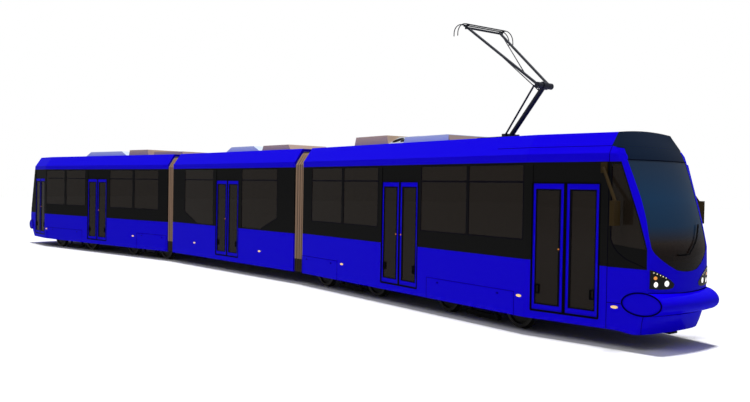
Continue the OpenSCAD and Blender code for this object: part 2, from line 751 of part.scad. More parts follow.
module front_portal() { color(grey) on_front() portal(end_gap, floor_z); }

module front_glazing() {
  color([0.2, 0.2, 0.2, 0.6]) on_front() {
    for (p = front_panes) pane_glass(p);
    translate([door2_x, -half, 0]) door_glass();
    along_taper(taper_x, taper_front) translate([door1_u, 0, 0]) door_glass();
    mirror([0, 1, 0]) {
      for (p = front_left_panes) pane_glass(p);
      along_taper(taper_x, taper_front) pane_cut(left_end_pane, glass_in, glass_in + glass_t);
    }
    for (s = [0, 1]) intersection() {
      difference() {
        end_body(nose_rows, roof_end_x, taper_x, tilt_f, glass_in);
        end_body(stretched(nose_rows, 1), roof_end_x - 120, taper_x, tilt_f, glass_in + glass_t);
      }
      mirror([0, s, 0]) cab_window(-1000, -600);
    }
  }
}

module front_doors() {
  color(blue) on_front() {
    translate([door2_x, -half, 0]) {
      door_leaves();
      door_header();
    }
    along_taper(taper_x, taper_front) translate([door1_u, 0, 0]) {
      door_leaves();
      door_header();
    }
  }
}

module nose_shell(t) { end_shell(nose_rows, roof_end_x, taper_x, tilt_f, t); }

module nose() {
  color(blue) on_front() difference() {
    nose_shell(nose_t);
    // The side walls reach up to the seam
    box(roof_end_x - 10, seam_x, -1500, 1500, 0, gutter_z);
    fairing_side(0);
    ahead(seam_x - 20) screen_outline();
    for (s = [0, 1]) mirror([0, s, 0]) cab_window(-1000, -600);
    lamp_pair();
    nose_bumper_bar();
  }
}

module windscreen() {
  color([0.1, 0.12, 0.2, 0.7]) on_front() difference() {
    intersection() {
      nose_shell(glass_t);
      ahead(seam_x - 20) screen_outline();
    }
    fairing_side(0);
  }
}

module roof_fairing() {
  color(black) on_front() intersection() {
    nose_shell(nose_t);
    fairing_side(0);
  }
}

module headlamps() {
  color(black) on_front() intersection() {
    nose_shell(nose_t);
    lamp_pair();
  }
}

module front_bumper() {
  color(blue) on_front() difference() {
    nose_bumper_bar();
    translate([0, 0, -1]) end_body(stretched(nose_rows, 5), roof_end_x - 120, taper_x, tilt_f, nose_t);
  }
}

module cab_desk() {
  color(black) on_front() {
    // Desk behind the windscreen, on its pedestal
    box(seam_x + 262, seam_x + 462, -560, 560, 1020, 1110);
    box(seam_x + 232, seam_x + 282, -500, 500, floor_z, 1020);
    // Driver's seat
    translate([seam_x - 438, 60, floor_z]) seat();
    // Partition behind the driver
    box(seam_x - 778, seam_x - 738, -250, inner - (seam_x - 738 - taper_x) * tilt_f, floor_z, 2650);
  }
}

module front_seats() {
  color(grey) on_front() {
    for (y = [-1, 1]) seats_at([520, 1280, 2040, 4700, 5460, 6220], y, floor_z);
    seats_at([2800, 3560], 1, floor_z);
  }
}

// Mirror head beside the cab, drawn on the right: its middle
mirror_at = [seam_x + 245, -half + 115, 1985];

module mirrors() {
  u = door1_u + door_w / 2;
  foot = [taper_x + (u + 62) * cos(taper_front), -half + (u + 62) * sin(taper_front) - 32, 2650];
  color(black) on_front() for (s = [0, 1]) mirror([0, s, 0]) {
    // Foot on the side wall, slanted arm and head
    along_taper(taper_x, taper_front) box(u + 12, u + 112, -28, -rest_gap, 2570, 2730);
    bar(foot, mirror_at + [5, 0, 160], 24);
    translate(mirror_at) rotate([0, 0, taper_front]) box(-35, 35, -100, 100, -180, 180);
  }
}

module front_roof_boxes() {
  color(grey) on_front() {
    roof_case(1450, 2740, 570, 215, 70);
    roof_case(3280, 4745, 600, 145, 60);
  }
}

// Pantograph in the front section frame, arms in the x-z plane

module bar(a, b, r) {
  d = b - a;
  l = norm(d);
  translate(a) rotate([0, acos(d[2] / l), atan2(d[1], d[0])]) cylinder(r = r, h = l);
}

rod_y = -247;

module panto_base() {
  low = roof_z + 26;
  top = roof_z + 56;
  color(steel) on_front() difference() {
    union() {
      for (x = [-340, 460], y = [-430, 430]) translate([pan_x + x, y, roof_z]) cylinder(r = 45, h = 26);
      for (y = [-430, 430]) box(pan_x - 400, pan_x + 520, y - 30, y + 30, low, top);
      for (x = [-80, 400]) box(pan_x + x - 30, pan_x + x + 30, -460, 460, low, top);
      box(pan_x + rod_dx - 40, pan_x + rod_dx + 40, -460, rod_y + 47, low, top);
      // Cheeks that hold the lower arm and the rod
      for (y = [-170, 130]) box(pan_x - 60, pan_x + 60, y, y + 40, low, pan_z + 38);
      for (y = [rod_y - 47, rod_y + 25]) box(pan_x + rod_dx - 40, pan_x + rod_dx + 40, y, y + 22, low, pan_z + 28);
    }
    translate([pan_x, -185, pan_z]) rotate([-90, 0, 0]) cylinder(r = 30.5, h = 370);
    translate([pan_x + rod_dx, rod_y - 60, pan_z]) rotate([-90, 0, 0]) cylinder(r = 12.5, h = 120);
  }
}

module panto_lower_arm() {
  color(steel) on_front() {
    translate([pan_x, -170, pan_z]) rotate([-90, 0, 0]) cylinder(r = 30, h = 340);
    translate([pan_x, -120, pan_z]) rotate([-90, 0, 0]) cylinder(r = 45, h = 240);
    difference() {
      union() {
        bar([pan_x, 0, pan_z], [knee_x, 0, knee_z], 45);
        translate([knee_x, -60, knee_z]) rotate([-90, 0, 0]) cylinder(r = 70, h = 120);
      }
      translate([knee_x, -61, knee_z]) rotate([-90, 0, 0]) cylinder(r = 30.5, h = 122);
    }
  }
}

module panto_rod() {
  color(steel) on_front() {
    translate([pan_x + rod_dx, rod_y - 47, pan_z]) rotate([-90, 0, 0]) cylinder(r = 12, h = 94);
    bar([pan_x + rod_dx, rod_y, pan_z], [pan_x + rod_dx + rod_len * cos(rod_a), rod_y, pan_z + rod_len * sin(rod_a)], 17);
  }
}

// The upper arm's tubes spread from the knee to the ends of the cross tube that carries the head
module panto_upper_arm() {
  spread = pan_strip / 2 - 95;
  color(steel) on_front() {
    translate([knee_x, -190, knee_z]) rotate([-90, 0, 0]) cylinder(r = 30, h = 380);
    for (s = [-1, 1]) {
      translate([knee_x, s * 130 - 55, knee_z]) rotate([-90, 0, 0]) cylinder(r = 55, h = 110);
      bar([knee_x, s * 150, knee_z], [head_x, s * spread, head_pz], 24);
    }
    translate([head_x, -spread - 40, head_pz]) rotate([-90, 0, 0]) cylinder(r = 20, h = 2 * spread + 80);
  }
}

module panto_head() {
  horn_r = 200;
  color(steel) on_front() {
    for (s = [-1, 1]) difference() {
      box(head_x - 95, head_x + 95, s * 340 - 20, s * 340 + 20, head_pz - 35, head_pz + 40);
      translate([head_x, s * 340 - 21, head_pz]) rotate([-90, 0, 0]) cylinder(r = 20.5, h = 42);
    }
    for (x = [-70, 70]) {
      box(head_x + x - 20, head_x + x + 20, -pan_strip / 2, pan_strip / 2, head_pz + 40, head_pz + 75);
      // Horns curve out and down
      for (s = [0, 1]) mirror([0, s, 0]) translate([head_x + x, pan_strip / 2 - 1, head_pz + 57 - horn_r]) rotate([0, -90, 0]) {
        rotate_extrude(angle = 90) translate([horn_r, 0]) circle(r = 14, $fn = 24);
        translate([0, horn_r, 0]) rotate([0, -90, 0]) cylinder(r = 14, h = 60, $fn = 24);
      }
    }
  }
}

// Nodes: rear section

module rear_floor() {
  color(steel) on_rear() tail_way()
    outer_floor(tail_taper_x, tail_seam_x + 160, tilt_r, taper_rear, door4_x, door5_u, tail_bogie_far);
}

module rear_underframe() {
  color(steel) on_rear() tail_way()
    underframe(tail_taper_x, tail_seam_x + 160, tilt_r, taper_rear, door4_x, door5_u, tail_tow_x);
}

module rear_sides() {
  color(blue) on_rear() tail_way() {
    difference() {
      translate([0, 0, skirt_z]) linear_extrude(gutter_z - skirt_z) side_plan(end_gap, tail_taper_x, tail_seam_x, tilt_r);
      for (p = rear_panes) pane_cut(p, -half - 10, -inner + 10);
      translate([door4_x, -half, 0]) door_cut(5);
      along_taper(tail_taper_x, taper_rear) translate([door5_u, 0, 0]) door_cut(5);
    }
    mirror([0, 1, 0]) difference() {
      translate([0, 0, skirt_z]) linear_extrude(gutter_z - skirt_z) side_plan(end_gap, tail_taper_x, tail_seam_x, tilt_r);
      for (p = rear_left_panes) pane_cut(p, -half - 10, -inner + 10);
      along_taper(tail_taper_x, taper_rear) pane_cut(tail_left_pane, -10, wall + 10);
    }
  }
}

module rear_roof() { color(blue) on_rear() tail_way() roof_skin(end_gap, tail_taper_x, tail_seam_x, tilt_r); }

module rear_portal() { color(grey) on_rear() tail_way() portal(end_gap, floor_z); }

module rear_glazing() {
  color([0.2, 0.2, 0.2, 0.6]) on_rear() tail_way() {
    for (p = rear_panes) pane_glass(p);
    translate([door4_x, -half, 0]) door_glass();
    along_taper(tail_taper_x, taper_rear) translate([door5_u, 0, 0]) door_glass();
    mirror([0, 1, 0]) {
      for (p = rear_left_panes) pane_glass(p);
      along_taper(tail_taper_x, taper_rear) pane_cut(tail_left_pane, glass_in, glass_in + glass_t);
    }
  }
}

module rear_doors() {
  color(blue) on_rear() tail_way() {
    translate([door4_x, -half, 0]) {
      door_leaves();
      door_header();
    }
    along_taper(tail_taper_x, taper_rear) translate([door5_u, 0, 0]) {
      door_leaves();
      door_header();
    }
  }
}

module tail_window_outline() {
  translate([-640, sill_z]) square([1280, vent_top - sill_z]);
}

module tail_lamp_outline() {
  for (s = [-1, 1], z = [1010, 1160]) translate([s * 640, z]) circle(r = 60);
}

module tail_shell() {
  color(blue) on_rear() tail_way() difference() {
    capped_shell(tail_rows, tail_seam_x, tail_taper_x, tilt_r, nose_t);
    ahead(tail_seam_x + 20) tail_window_outline();
    ahead(tail_seam_x + 160) tail_lamp_outline();
    tail_bumper_bar();
  }
}

module tail_window() {
  color([0.1, 0.12, 0.2, 0.7]) on_rear() tail_way() intersection() {
    end_shell(tail_rows, tail_seam_x, tail_taper_x, tilt_r, glass_t);
    ahead(tail_seam_x + 20) tail_window_outline();
  }
}

module tail_lamps() {
  color([0.6, 0.05, 0.05]) on_rear() tail_way() intersection() {
    end_shell(tail_rows, tail_seam_x, tail_taper_x, tilt_r, nose_t);
    ahead(tail_seam_x + 160) tail_lamp_outline();
  }
}

module rear_bumper() {
  color(blue) on_rear() tail_way() difference() {
    tail_bumper_bar();
    translate([0, 0, -1]) end_body(stretched(tail_rows, 5), tail_seam_x - 120, tail_taper_x, tilt_r, nose_t);
  }
}

module rear_seats() {
  color(grey) on_rear() tail_way() {
    for (y = [-1, 1]) seats_at([520, 1280, 2040, 2800, 4950, 5710, 6470], y, floor_z);
    seats_at([3560], 1, floor_z);
  }
}

module rear_roof_boxes() {
  color(grey) on_rear() tail_way() {
    roof_case(420, 1960, 500, 110, 40);
    roof_case(2090, 3200, 600, 190, 60);
    roof_case(3290, 5840, 600, 160, 330);
  }
}

// Nodes: running gear

module bogie(i) { color(steel) on_bogie(bogies[i]) bogie_shape(bogies[i][B_MOTORS] > 0); }

module wheelset(i, e) {
  color(steel) on_bogie(bogies[i]) translate([e * wheelbase / 2, 0, wheel_r]) wheelset_shape();
}

module bogie_1() { bogie(0); }

module bogie_2() { bogie(1); }

module bogie_3() { bogie(2); }

module bogie_4() { bogie(3); }

module wheelset_1() { wheelset(0, 1); }

module wheelset_2() { wheelset(0, -1); }

module wheelset_3() { wheelset(1, 1); }

module wheelset_4() { wheelset(1, -1); }

module wheelset_5() { wheelset(2, 1); }

module wheelset_6() { wheelset(2, -1); }

module wheelset_7() { wheelset(3, 1); }

module wheelset_8() { wheelset(3, -1); }

mid_floor();
mid_sides();
mid_roof();
mid_portals();
mid_glazing();
mid_doors();
mid_seats();
mid_roof_box();
gaiter_front();
gaiter_rear();
front_floor();
front_underframe();
front_sides();
front_roof();
front_portal();
front_glazing();
front_doors();
front_seats();
nose();
windscreen();
roof_fairing();
headlamps();
front_bumper();
cab_desk();
mirrors();
front_roof_boxes();
panto_base();
panto_lower_arm();
panto_rod();
panto_upper_arm();
panto_head();
rear_floor();
rear_underframe();
rear_sides();
rear_roof();
rear_portal();
rear_glazing();
rear_doors();
rear_seats();
tail_shell();
tail_window();
tail_lamps();
rear_bumper();
rear_roof_boxes();
bogie_1();
bogie_2();
bogie_3();
bogie_4();
wheelset_1();
wheelset_2();
wheelset_3();
wheelset_4();
wheelset_5();
wheelset_6();
wheelset_7();
wheelset_8();
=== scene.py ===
"""Looks of the articulated tram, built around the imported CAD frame.

Lengths in the tables are millimetres in the frame of one section: x from the section's pivot towards its outer end
(from its middle on the middle section), y left, z up from the rail. PLACE turns them into the row frame.
"""

import math

import bmesh
import bpy
import numpy as np
from mathutils import Matrix, Vector


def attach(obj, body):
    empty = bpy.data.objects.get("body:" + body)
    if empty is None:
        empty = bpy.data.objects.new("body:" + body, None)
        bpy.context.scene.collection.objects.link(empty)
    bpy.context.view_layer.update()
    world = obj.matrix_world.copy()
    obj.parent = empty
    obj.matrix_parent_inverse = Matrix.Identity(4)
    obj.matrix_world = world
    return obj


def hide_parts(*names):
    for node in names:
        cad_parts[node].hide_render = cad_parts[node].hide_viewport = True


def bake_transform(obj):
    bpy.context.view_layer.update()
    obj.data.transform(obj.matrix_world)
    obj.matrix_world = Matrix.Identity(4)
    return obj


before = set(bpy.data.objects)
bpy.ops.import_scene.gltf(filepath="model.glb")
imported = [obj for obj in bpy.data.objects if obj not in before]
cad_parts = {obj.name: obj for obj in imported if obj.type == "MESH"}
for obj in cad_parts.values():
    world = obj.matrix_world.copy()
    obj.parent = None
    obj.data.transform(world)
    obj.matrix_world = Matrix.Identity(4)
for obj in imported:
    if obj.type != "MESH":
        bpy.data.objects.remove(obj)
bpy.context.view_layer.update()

# Sizes shared with the CAD source
PIVOT_GAP, END_GAP, BEND_FRONT, BEND_REAR = 6650.0, 250.0, 5.8, 9.1
DATUM_X, DATUM_Y, RAIL_Z = 14.0, 587.0, 26.0
HALF = 1175.0
DOOR_Z, HEAD_Z, VENT_Z, VENT_TOP, SILL_Z, LOW_SILL_Z = 397.0, 2410.0, 2437.0, 2700.0, 1505.0, 1195.0
SKIRT_Z, BAND_Z, GUTTER_Z, ROOF_Z, ROOF_IN = 260.0, 2738.0, 2860.0, 3190.0, 230.0
FLOOR_Z, LOW_FLOOR_Z = 900.0, 400.0
DOOR_W, LEAF_GAP, OUTER_STILE, INNER_STILE, LEAF_RAIL = 1150.0, 12.0, 60.0, 86.0, 95.0
TAPER_X, TAPER_A, DOOR1_POST, SEAM_POST, DOOR2_X = 7250.0, 11.9, 115.0, 133.0, 3930.0
TAIL_TAPER_X, TAIL_TAPER_A, DOOR5_POST, TAIL_POST, DOOR4_X = 7520.0, 12.1, 125.0, 75.0, 4138.0
SEAM_X = TAPER_X + (DOOR1_POST + DOOR_W + SEAM_POST) * math.cos(math.radians(TAPER_A))
ROOF_END_X = SEAM_X - 18.0
TAIL_SEAM_X = TAIL_TAPER_X + (DOOR5_POST + DOOR_W + TAIL_POST) * math.cos(math.radians(TAIL_TAPER_A))
FAIRING_Z, SCREEN_LOW = 2770.0, 1140.0
BUMP_Z, BUMP_H, BUMP_D, TAIL_BUMP_D, BUMP_SAG, BUMP_PROUD = 680.0, 172.0, 288.0, 220.0, 85.0, 14.0
PAN_X, PAN_Z, PAN_LOW, PAN_LOW_A, PAN_UP, PAN_UP_A, PAN_STRIP = 5735.0, 3280.0, 1165.0, 47.2, 1953.0, 37.9, 1050.0
# Lower edge of the black window band
BELT = {"front_section": 1181.0, "middle_section": 1160.0, "rear_section": 1140.0}


def turn(degrees):
    return Matrix.Rotation(math.radians(degrees), 4, "Z")


DATUM = Matrix.Translation((DATUM_X / 1000, DATUM_Y / 1000, RAIL_Z / 1000))
PLACE = {
    "middle_section": DATUM,
    "front_section": DATUM @ Matrix.Translation((PIVOT_GAP / 2000, 0, 0)) @ turn(-BEND_FRONT),
    "rear_section": DATUM @ Matrix.Translation((-PIVOT_GAP / 2000, 0, 0)) @ turn(BEND_REAR)
    @ Matrix.Diagonal((-1, 1, 1, 1)),
}
def placed(name, data):
    """A new object in the scene."""
    o = bpy.data.objects.new(name, data)
    bpy.context.scene.collection.objects.link(o)
    return o


# Materials

# Room in mm for the last of a row of colour bands
LAST_BAND = 100.0
# Length in mm of one wave of the wave texture at scale 1
WAVE = 314.0

def material(name, color, rough=0.5, metal=0.0, shine=0.5, coat=0.0, alpha=1.0, glow=0.0):
    m = bpy.data.materials.new(name)
    m.use_nodes = True
    s = m.node_tree.nodes["Principled BSDF"].inputs
    s["Base Color"].default_value = (*color, 1)
    s["Roughness"].default_value = rough
    s["Metallic"].default_value = metal
    s["Specular IOR Level"].default_value = shine
    s["Coat Weight"].default_value = coat
    s["Alpha"].default_value = alpha
    if glow:
        s["Emission Color"].default_value = (*color, 1)
        s["Emission Strength"].default_value = glow
    return m


def bands(m, section, axis, steps, blend="CONSTANT"):
    """Colours in bands along an axis of a section's frame: steps are (from, in mm, colour), lowest first."""
    nt = m.node_tree
    add = nt.nodes.new
    coords = add("ShaderNodeTexCoord")
    measure = add("ShaderNodeVectorMath")
    measure.operation = "DOT_PRODUCT"
    way = PLACE[section].to_3x3() @ Vector(axis)
    measure.inputs[1].default_value = way
    nt.links.new(coords.outputs["Object"], measure.inputs[0])
    start = way.dot(PLACE[section].translation)
    ramp = add("ShaderNodeValToRGB")
    ramp.color_ramp.interpolation = blend
    low, high = steps[0][0], steps[-1][0] + LAST_BAND
    place = add("ShaderNodeMapRange")
    place.inputs["From Min"].default_value = start + low / 1000
    place.inputs["From Max"].default_value = start + high / 1000
    nt.links.new(measure.outputs["Value"], place.inputs["Value"])
    nt.links.new(place.outputs["Result"], ramp.inputs["Fac"])
    stops = ramp.color_ramp.elements
    stops.remove(stops[1])
    stops[0].color = (*steps[0][1], 1)
    for z, color in steps[1:]:
        stops.new((z - low) / (high - low)).color = (*color, 1)
    nt.links.new(ramp.outputs["Color"], nt.nodes["Principled BSDF"].inputs["Base Color"])
    return m


def grain(m, scale, amount, bump=0.0):
    """Fine unevenness of the roughness, and of the surface where bump says how deep in mm."""
    nt = m.node_tree
    shader = nt.nodes["Principled BSDF"]
    base = shader.inputs["Roughness"].default_value
    coords = nt.nodes.new("ShaderNodeTexCoord")
    noise = nt.nodes.new("ShaderNodeTexNoise")
    noise.inputs["Scale"].default_value = scale
    spread = nt.nodes.new("ShaderNodeMapRange")
    spread.inputs["To Min"].default_value = base - amount
    spread.inputs["To Max"].default_value = base + amount
    nt.links.new(coords.outputs["Object"], noise.inputs["Vector"])
    nt.links.new(noise.outputs["Fac"], spread.inputs["Value"])
    nt.links.new(spread.outputs["Result"], shader.inputs["Roughness"])
    if bump:
        relief = nt.nodes.new("ShaderNodeBump")
        relief.inputs["Distance"].default_value = bump / 1000
        nt.links.new(noise.outputs["Fac"], relief.inputs["Height"])
        nt.links.new(relief.outputs["Normal"], shader.inputs["Normal"])
    return m


def weave(m, pitch, depth):
    """Crossed threads, pitch and depth in mm."""
    nt = m.node_tree
    coords = nt.nodes.new("ShaderNodeTexCoord")
    height = None
    for way in ("X", "Z"):
        threads = nt.nodes.new("ShaderNodeTexWave")
        threads.bands_direction = way
        threads.inputs["Scale"].default_value = WAVE / pitch
        nt.links.new(coords.outputs["Object"], threads.inputs["Vector"])
        if height is None:
            height = threads.outputs["Fac"]
        else:
            cross = nt.nodes.new("ShaderNodeMath")
            cross.operation = "MAXIMUM"
            nt.links.new(height, cross.inputs[0])
            nt.links.new(threads.outputs["Fac"], cross.inputs[1])
            height = cross.outputs[0]
    relief = nt.nodes.new("ShaderNodeBump")
    relief.inputs["Distance"].default_value = depth / 1000
    nt.links.new(height, relief.inputs["Height"])
    nt.links.new(relief.outputs["Normal"], nt.nodes["Principled BSDF"].inputs["Normal"])
    return m


BLUE = (0.005, 0.0, 0.70)
BAND = (0.006, 0.006, 0.006)
BEIGE, PALE = (0.60, 0.44, 0.31), (0.62, 0.71, 0.84)
LOUVRE = (0.46, 0.35, 0.26)
CLOTH, CLOTH_LOW, CLOTH_EDGE_Z = (0.29, 0.19, 0.13), (0.030, 0.022, 0.015), 575.0
THREAD, THREAD_DEPTH = 9.0, 1.2
# Windscreen colour by height: near black low down, dark brown where the desk shows through, then navy, partly the
# glass's tint and partly a painted reflection of the sky
SCREEN_TINT_AND_SKY = [(SCREEN_LOW, (0.004, 0.003, 0.003)), (1440, (0.010, 0.005, 0.004)), (1560, (0.022, 0.016, 0.014)),
               (1800, (0.006, 0.030, 0.075)), (2200, (0.006, 0.036, 0.092)), (FAIRING_Z, (0.012, 0.028, 0.060))]
UP, AHEAD = (0, 0, 1), (1, 0, 0)


def painted(name, color=BLUE):
    """Sprayed paint: thin clear coat, faint orange peel."""
    return grain(material(name, color, 0.45, shine=0.0, coat=0.05), 40.0, 0.05, 0.15)


paint = painted("blue_paint")
side_paint = {s: bands(painted(f"side_paint_{s}"), s, UP, [(0, BLUE), (BELT[s], BAND), (BAND_Z, BLUE)])
              for s in PLACE}
door_paint = {s: bands(painted(f"door_paint_{s}"), s, UP, [(0, BLUE), (HEAD_Z - 3, BAND)]) for s in PLACE}
rubber = grain(material("black_rubber", (0.001, 0.001, 0.0015), 0.7, shine=0.02), 120.0, 0.08, 0.4)
gasket = grain(material("window_gasket", (0.003, 0.0025, 0.006), 0.7, shine=0.02), 120.0, 0.08, 0.4)
# Black seams; the same black also draws the painted shade under the bumpers
seam = grain(material("seam", (0.001, 0.0005, 0.006), 0.7, shine=0.0), 60.0, 0.05)
hatch_line = grain(material("hatch_line", (0.002, 0.0, 0.22), 0.7, shine=0.0), 60.0, 0.05)
band = grain(material("black_band", BAND, 0.35, shine=0.0, coat=0.04), 40.0, 0.05)
glass = grain(material("tinted_glass", (0.015, 0.011, 0.008), 0.06, shine=0.0, coat=0.15, alpha=0.93), 2.0, 0.03)
screen = grain(material("windscreen_glass", BAND, 0.06, shine=0.0, coat=0.15, alpha=0.95), 2.0, 0.03)
# painted sky reflection over the glass's tint, by height
bands(screen, "front_section", UP, SCREEN_TINT_AND_SKY, "LINEAR")
fairing = grain(material("dark_fairing", (0.004, 0.012, 0.032), 0.2, shine=0.0, coat=0.08), 3.0, 0.05)
gaiter = weave(material("gaiter_cloth_middle_section", CLOTH, 0.85, shine=0.02), THREAD, THREAD_DEPTH)
bands(gaiter, "middle_section", UP, [(0, CLOTH_LOW), (CLOTH_EDGE_Z, CLOTH)])
# Darker cloth for the grooves between the folds: painted shade in the creases
crease_shade = weave(material("gaiter_groove_shade", (0.075, 0.055, 0.040), 0.9, shine=0.0), THREAD, THREAD_DEPTH)


def case(name, section, steps):
    """Painted sheet metal of a roof case, dull from the weather."""
    return bands(grain(material(name, BEIGE, 0.6, shine=0.05), 8.0, 0.12, 0.5), section, AHEAD, steps)


case_paint = {
    "front_section": case("front_cases", "front_section", [(0, BEIGE), (3000, PALE), (4682, LOUVRE)]),
    "middle_section": case("middle_cases", "middle_section", [(-3000, PALE), (730, BEIGE)]),
    "rear_section": case("rear_cases", "rear_section", [(0, BEIGE), (3245, PALE)]),
}
hood = grain(material("case_hood", (0.40, 0.43, 0.48), 0.5, shine=0.05), 8.0, 0.1, 0.3)
vent = grain(material("vent", (0.004, 0.003, 0.003), 0.6, shine=0.02), 30.0, 0.1, 0.5)
# Wheels near black as painted shade under the body; bogies and underframe are dark paint made darker still by painted
# shade
shaded_wheel = grain(material("wheel_steel", (0.012, 0.011, 0.010), 0.5, metal=0.3, shine=0.1), 25.0, 0.15, 0.3)
bogie = grain(material("bogie_paint", (0.007, 0.007, 0.007), 0.75, shine=0.05), 25.0, 0.1, 0.6)
under = grain(material("underframe", (0.006, 0.006, 0.006), 0.8, shine=0.05), 25.0, 0.1, 0.6)
arm = grain(material("panto_metal", (0.010, 0.012, 0.020), 0.5, shine=0.15), 30.0, 0.1, 0.2)
carbon = grain(material("carbon_strip", (0.008, 0.010, 0.016), 0.6, shine=0.1), 80.0, 0.1, 0.3)
insulator = grain(material("insulator", (0.14, 0.04, 0.02), 0.3), 30.0, 0.06)
lamp_black = grain(material("lamp_unit", (0.003, 0.003, 0.003), 0.15, shine=0.0, coat=0.2), 6.0, 0.04)
lamp_white = grain(material("lamp_white", (1.0, 0.98, 0.92), 0.2, glow=0.6), 60.0, 0.08)
lamp_led = grain(material("lamp_led", (1.0, 0.90, 0.55), 0.2, glow=0.5), 60.0, 0.08)
lamp_amber = grain(material("lamp_amber", (0.9, 0.32, 0.04), 0.2, glow=0.3), 60.0, 0.08)
marker = grain(material("marker_light", (1.0, 0.62, 0.26), 0.3, shine=0.1, glow=0.35), 60.0, 0.08)
button = grain(material("door_button", (0.80, 0.26, 0.03), 0.4, shine=0.1, glow=0.1), 60.0, 0.08)
red = grain(material("tail_lens", (0.45, 0.01, 0.01), 0.15), 60.0, 0.05)
mirror_case = grain(material("mirror_case", (0.026, 0.016, 0.005), 0.6, shine=0.05), 90.0, 0.1, 0.4)
mirror_glass = grain(material("mirror_glass", (0.6, 0.62, 0.65), 0.03, metal=1.0), 4.0, 0.02)
seat_cover = weave(material("seat_cover", (0.05, 0.055, 0.10), 0.8, shine=0.1), 6.0, 0.8)
lining = grain(material("lining", (0.16, 0.155, 0.14), 0.7, shine=0.1), 40.0, 0.08, 0.3)
pole = grain(material("grab_pole", (0.70, 0.50, 0.05), 0.35), 30.0, 0.05)
desk = grain(material("desk", (0.02, 0.02, 0.022), 0.6, shine=0.1), 90.0, 0.1, 0.4)


# Mesh building

# Points closer than this, in metres, become one
WELD = 0.0002

def along(xt=0.0, angle=0.0):
    """Places points of a right wall that starts at xt and turns inwards.

    u runs along the wall, depth in from its outer face, z up.
    """
    c, s = math.cos(math.radians(angle)), math.sin(math.radians(angle))
    return lambda u, depth, z: (xt + u * c - depth * s, -HALF + u * s + depth * c, z)


def mirrored(way):
    """The same wall on the left."""

    def other(u, depth, z):
        x, y, z = way(u, depth, z)
        return (x, -y, z)

    return other


straight = along()
cab_wall = along(TAPER_X, TAPER_A)
tail_wall = along(TAIL_TAPER_X, TAIL_TAPER_A)


class Piece:
    """Gathers faces of one visual piece of a section and turns them into an object."""

    def __init__(self, name, body, mat, section=None):
        self.name, self.body, self.mat = name, body, mat
        self.section = section or body
        self.points, self.faces = [], []

    def add(self, points, faces):
        n = len(self.points)
        self.points += [tuple(p) for p in points]
        self.faces += [tuple(n + i for i in f) for f in faces]

    def box(self, x0, x1, y0, y1, z0, z1, way=lambda x, y, z: (x, y, z)):
        p = [way(x, y, z) for x in (x0, x1) for y in (y0, y1) for z in (z0, z1)]
        self.add(p, [(0, 1, 3, 2), (4, 6, 7, 5), (0, 4, 5, 1), (2, 3, 7, 6), (0, 2, 6, 4), (1, 5, 7, 3)])

    def sheet(self, rows):
        """A surface through rows of points, all rows with the same count."""
        n = len(rows[0])
        quads = [(i * n + j, (i + 1) * n + j, (i + 1) * n + j + 1, i * n + j + 1)
                 for i in range(len(rows) - 1) for j in range(n - 1)]
        self.add([p for r in rows for p in r], quads)

    def both(self, rows):
        """A surface on the right and the same on the left."""
        self.sheet(rows)
        self.sheet([[(x, -y, z) for x, y, z in r] for r in rows])

    def prism(self, outline, way, d0, d1):
        """A flat outline of (a, b) points given thickness from d0 to d1; way(a, d, b) places a point."""
        n = len(outline)
        p = [way(a, d, b) for d in (d0, d1) for a, b in outline]
        ends = [tuple(range(n)), tuple(range(2 * n - 1, n - 1, -1))]
        self.add(p, ends + [(i, n + i, n + (i + 1) % n, (i + 1) % n) for i in range(n)])

    def frame(self, outer, inner, way, d0, d1):
        """A rim between two outlines with the same number of points."""
        corners = ((outer, d0), (outer, d1), (inner, d1), (inner, d0), (outer, d0))
        self.sheet([[way(a, d, b) for a, b in line + line[:1]] for line, d in corners])

    def tube(self, path, r, sides=10):
        """A round bar along a path, closed at both ends."""
        path = [Vector(p) for p in path]
        around = np.linspace(0, 2 * math.pi, sides, endpoint=False)
        rings, last = [], None
        for i, p in enumerate(path):
            d = (path[min(i + 1, len(path) - 1)] - path[max(i - 1, 0)]).normalized()
            a = d.orthogonal().normalized() if last is None else (last - d * last.dot(d)).normalized()
            b = d.cross(a)
            last = a
            rings.append([p + (a * math.cos(t) + b * math.sin(t)) * r for t in around])
        self.sheet([ring + ring[:1] for ring in rings])
        for ring in (rings[0], rings[-1]):
            self.add(ring, [tuple(range(sides))])

    def disc(self, at, axis, r, h, sides=20):
        """A short round body from at along axis."""
        self.tube([Vector(at), Vector(at) + Vector(axis).normalized() * h], r, sides)

    def done(self, smooth=False, stands_for=(), blend=None):
        """Makes the object; with blend it stays in the row frame on no body, and the bodies and points in blend are
        not used.
        """
        mesh = bpy.data.meshes.new(self.name)
        mesh.from_pydata([(x / 1000, y / 1000, z / 1000) for x, y, z in self.points], [], self.faces)
        # vertices go straight into the row frame, so a mirrored section needs no mirrored object
        mesh.transform(PLACE[self.section])
        bm = bmesh.new()
        bm.from_mesh(mesh)
        bmesh.ops.remove_doubles(bm, verts=bm.verts, dist=WELD)
        bmesh.ops.recalc_face_normals(bm, faces=bm.faces)
        bm.to_mesh(mesh)
        bm.free()
        mesh.polygons.foreach_set("use_smooth", [smooth] * len(mesh.polygons))
        mesh.materials.append(self.mat)
        o = placed(self.name, mesh)
        if blend:
            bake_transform(o)
        else:
            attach(o, self.body)
        if stands_for:
            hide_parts(*stands_for)
        return o


trims = {}


def trim(kind, section, mat):
    """The piece that gathers one kind of small trim on a section."""
    if (kind, section) not in trims:
        trims[kind, section] = Piece(f"{kind}_{section}", section, mat)
    return trims[kind, section]


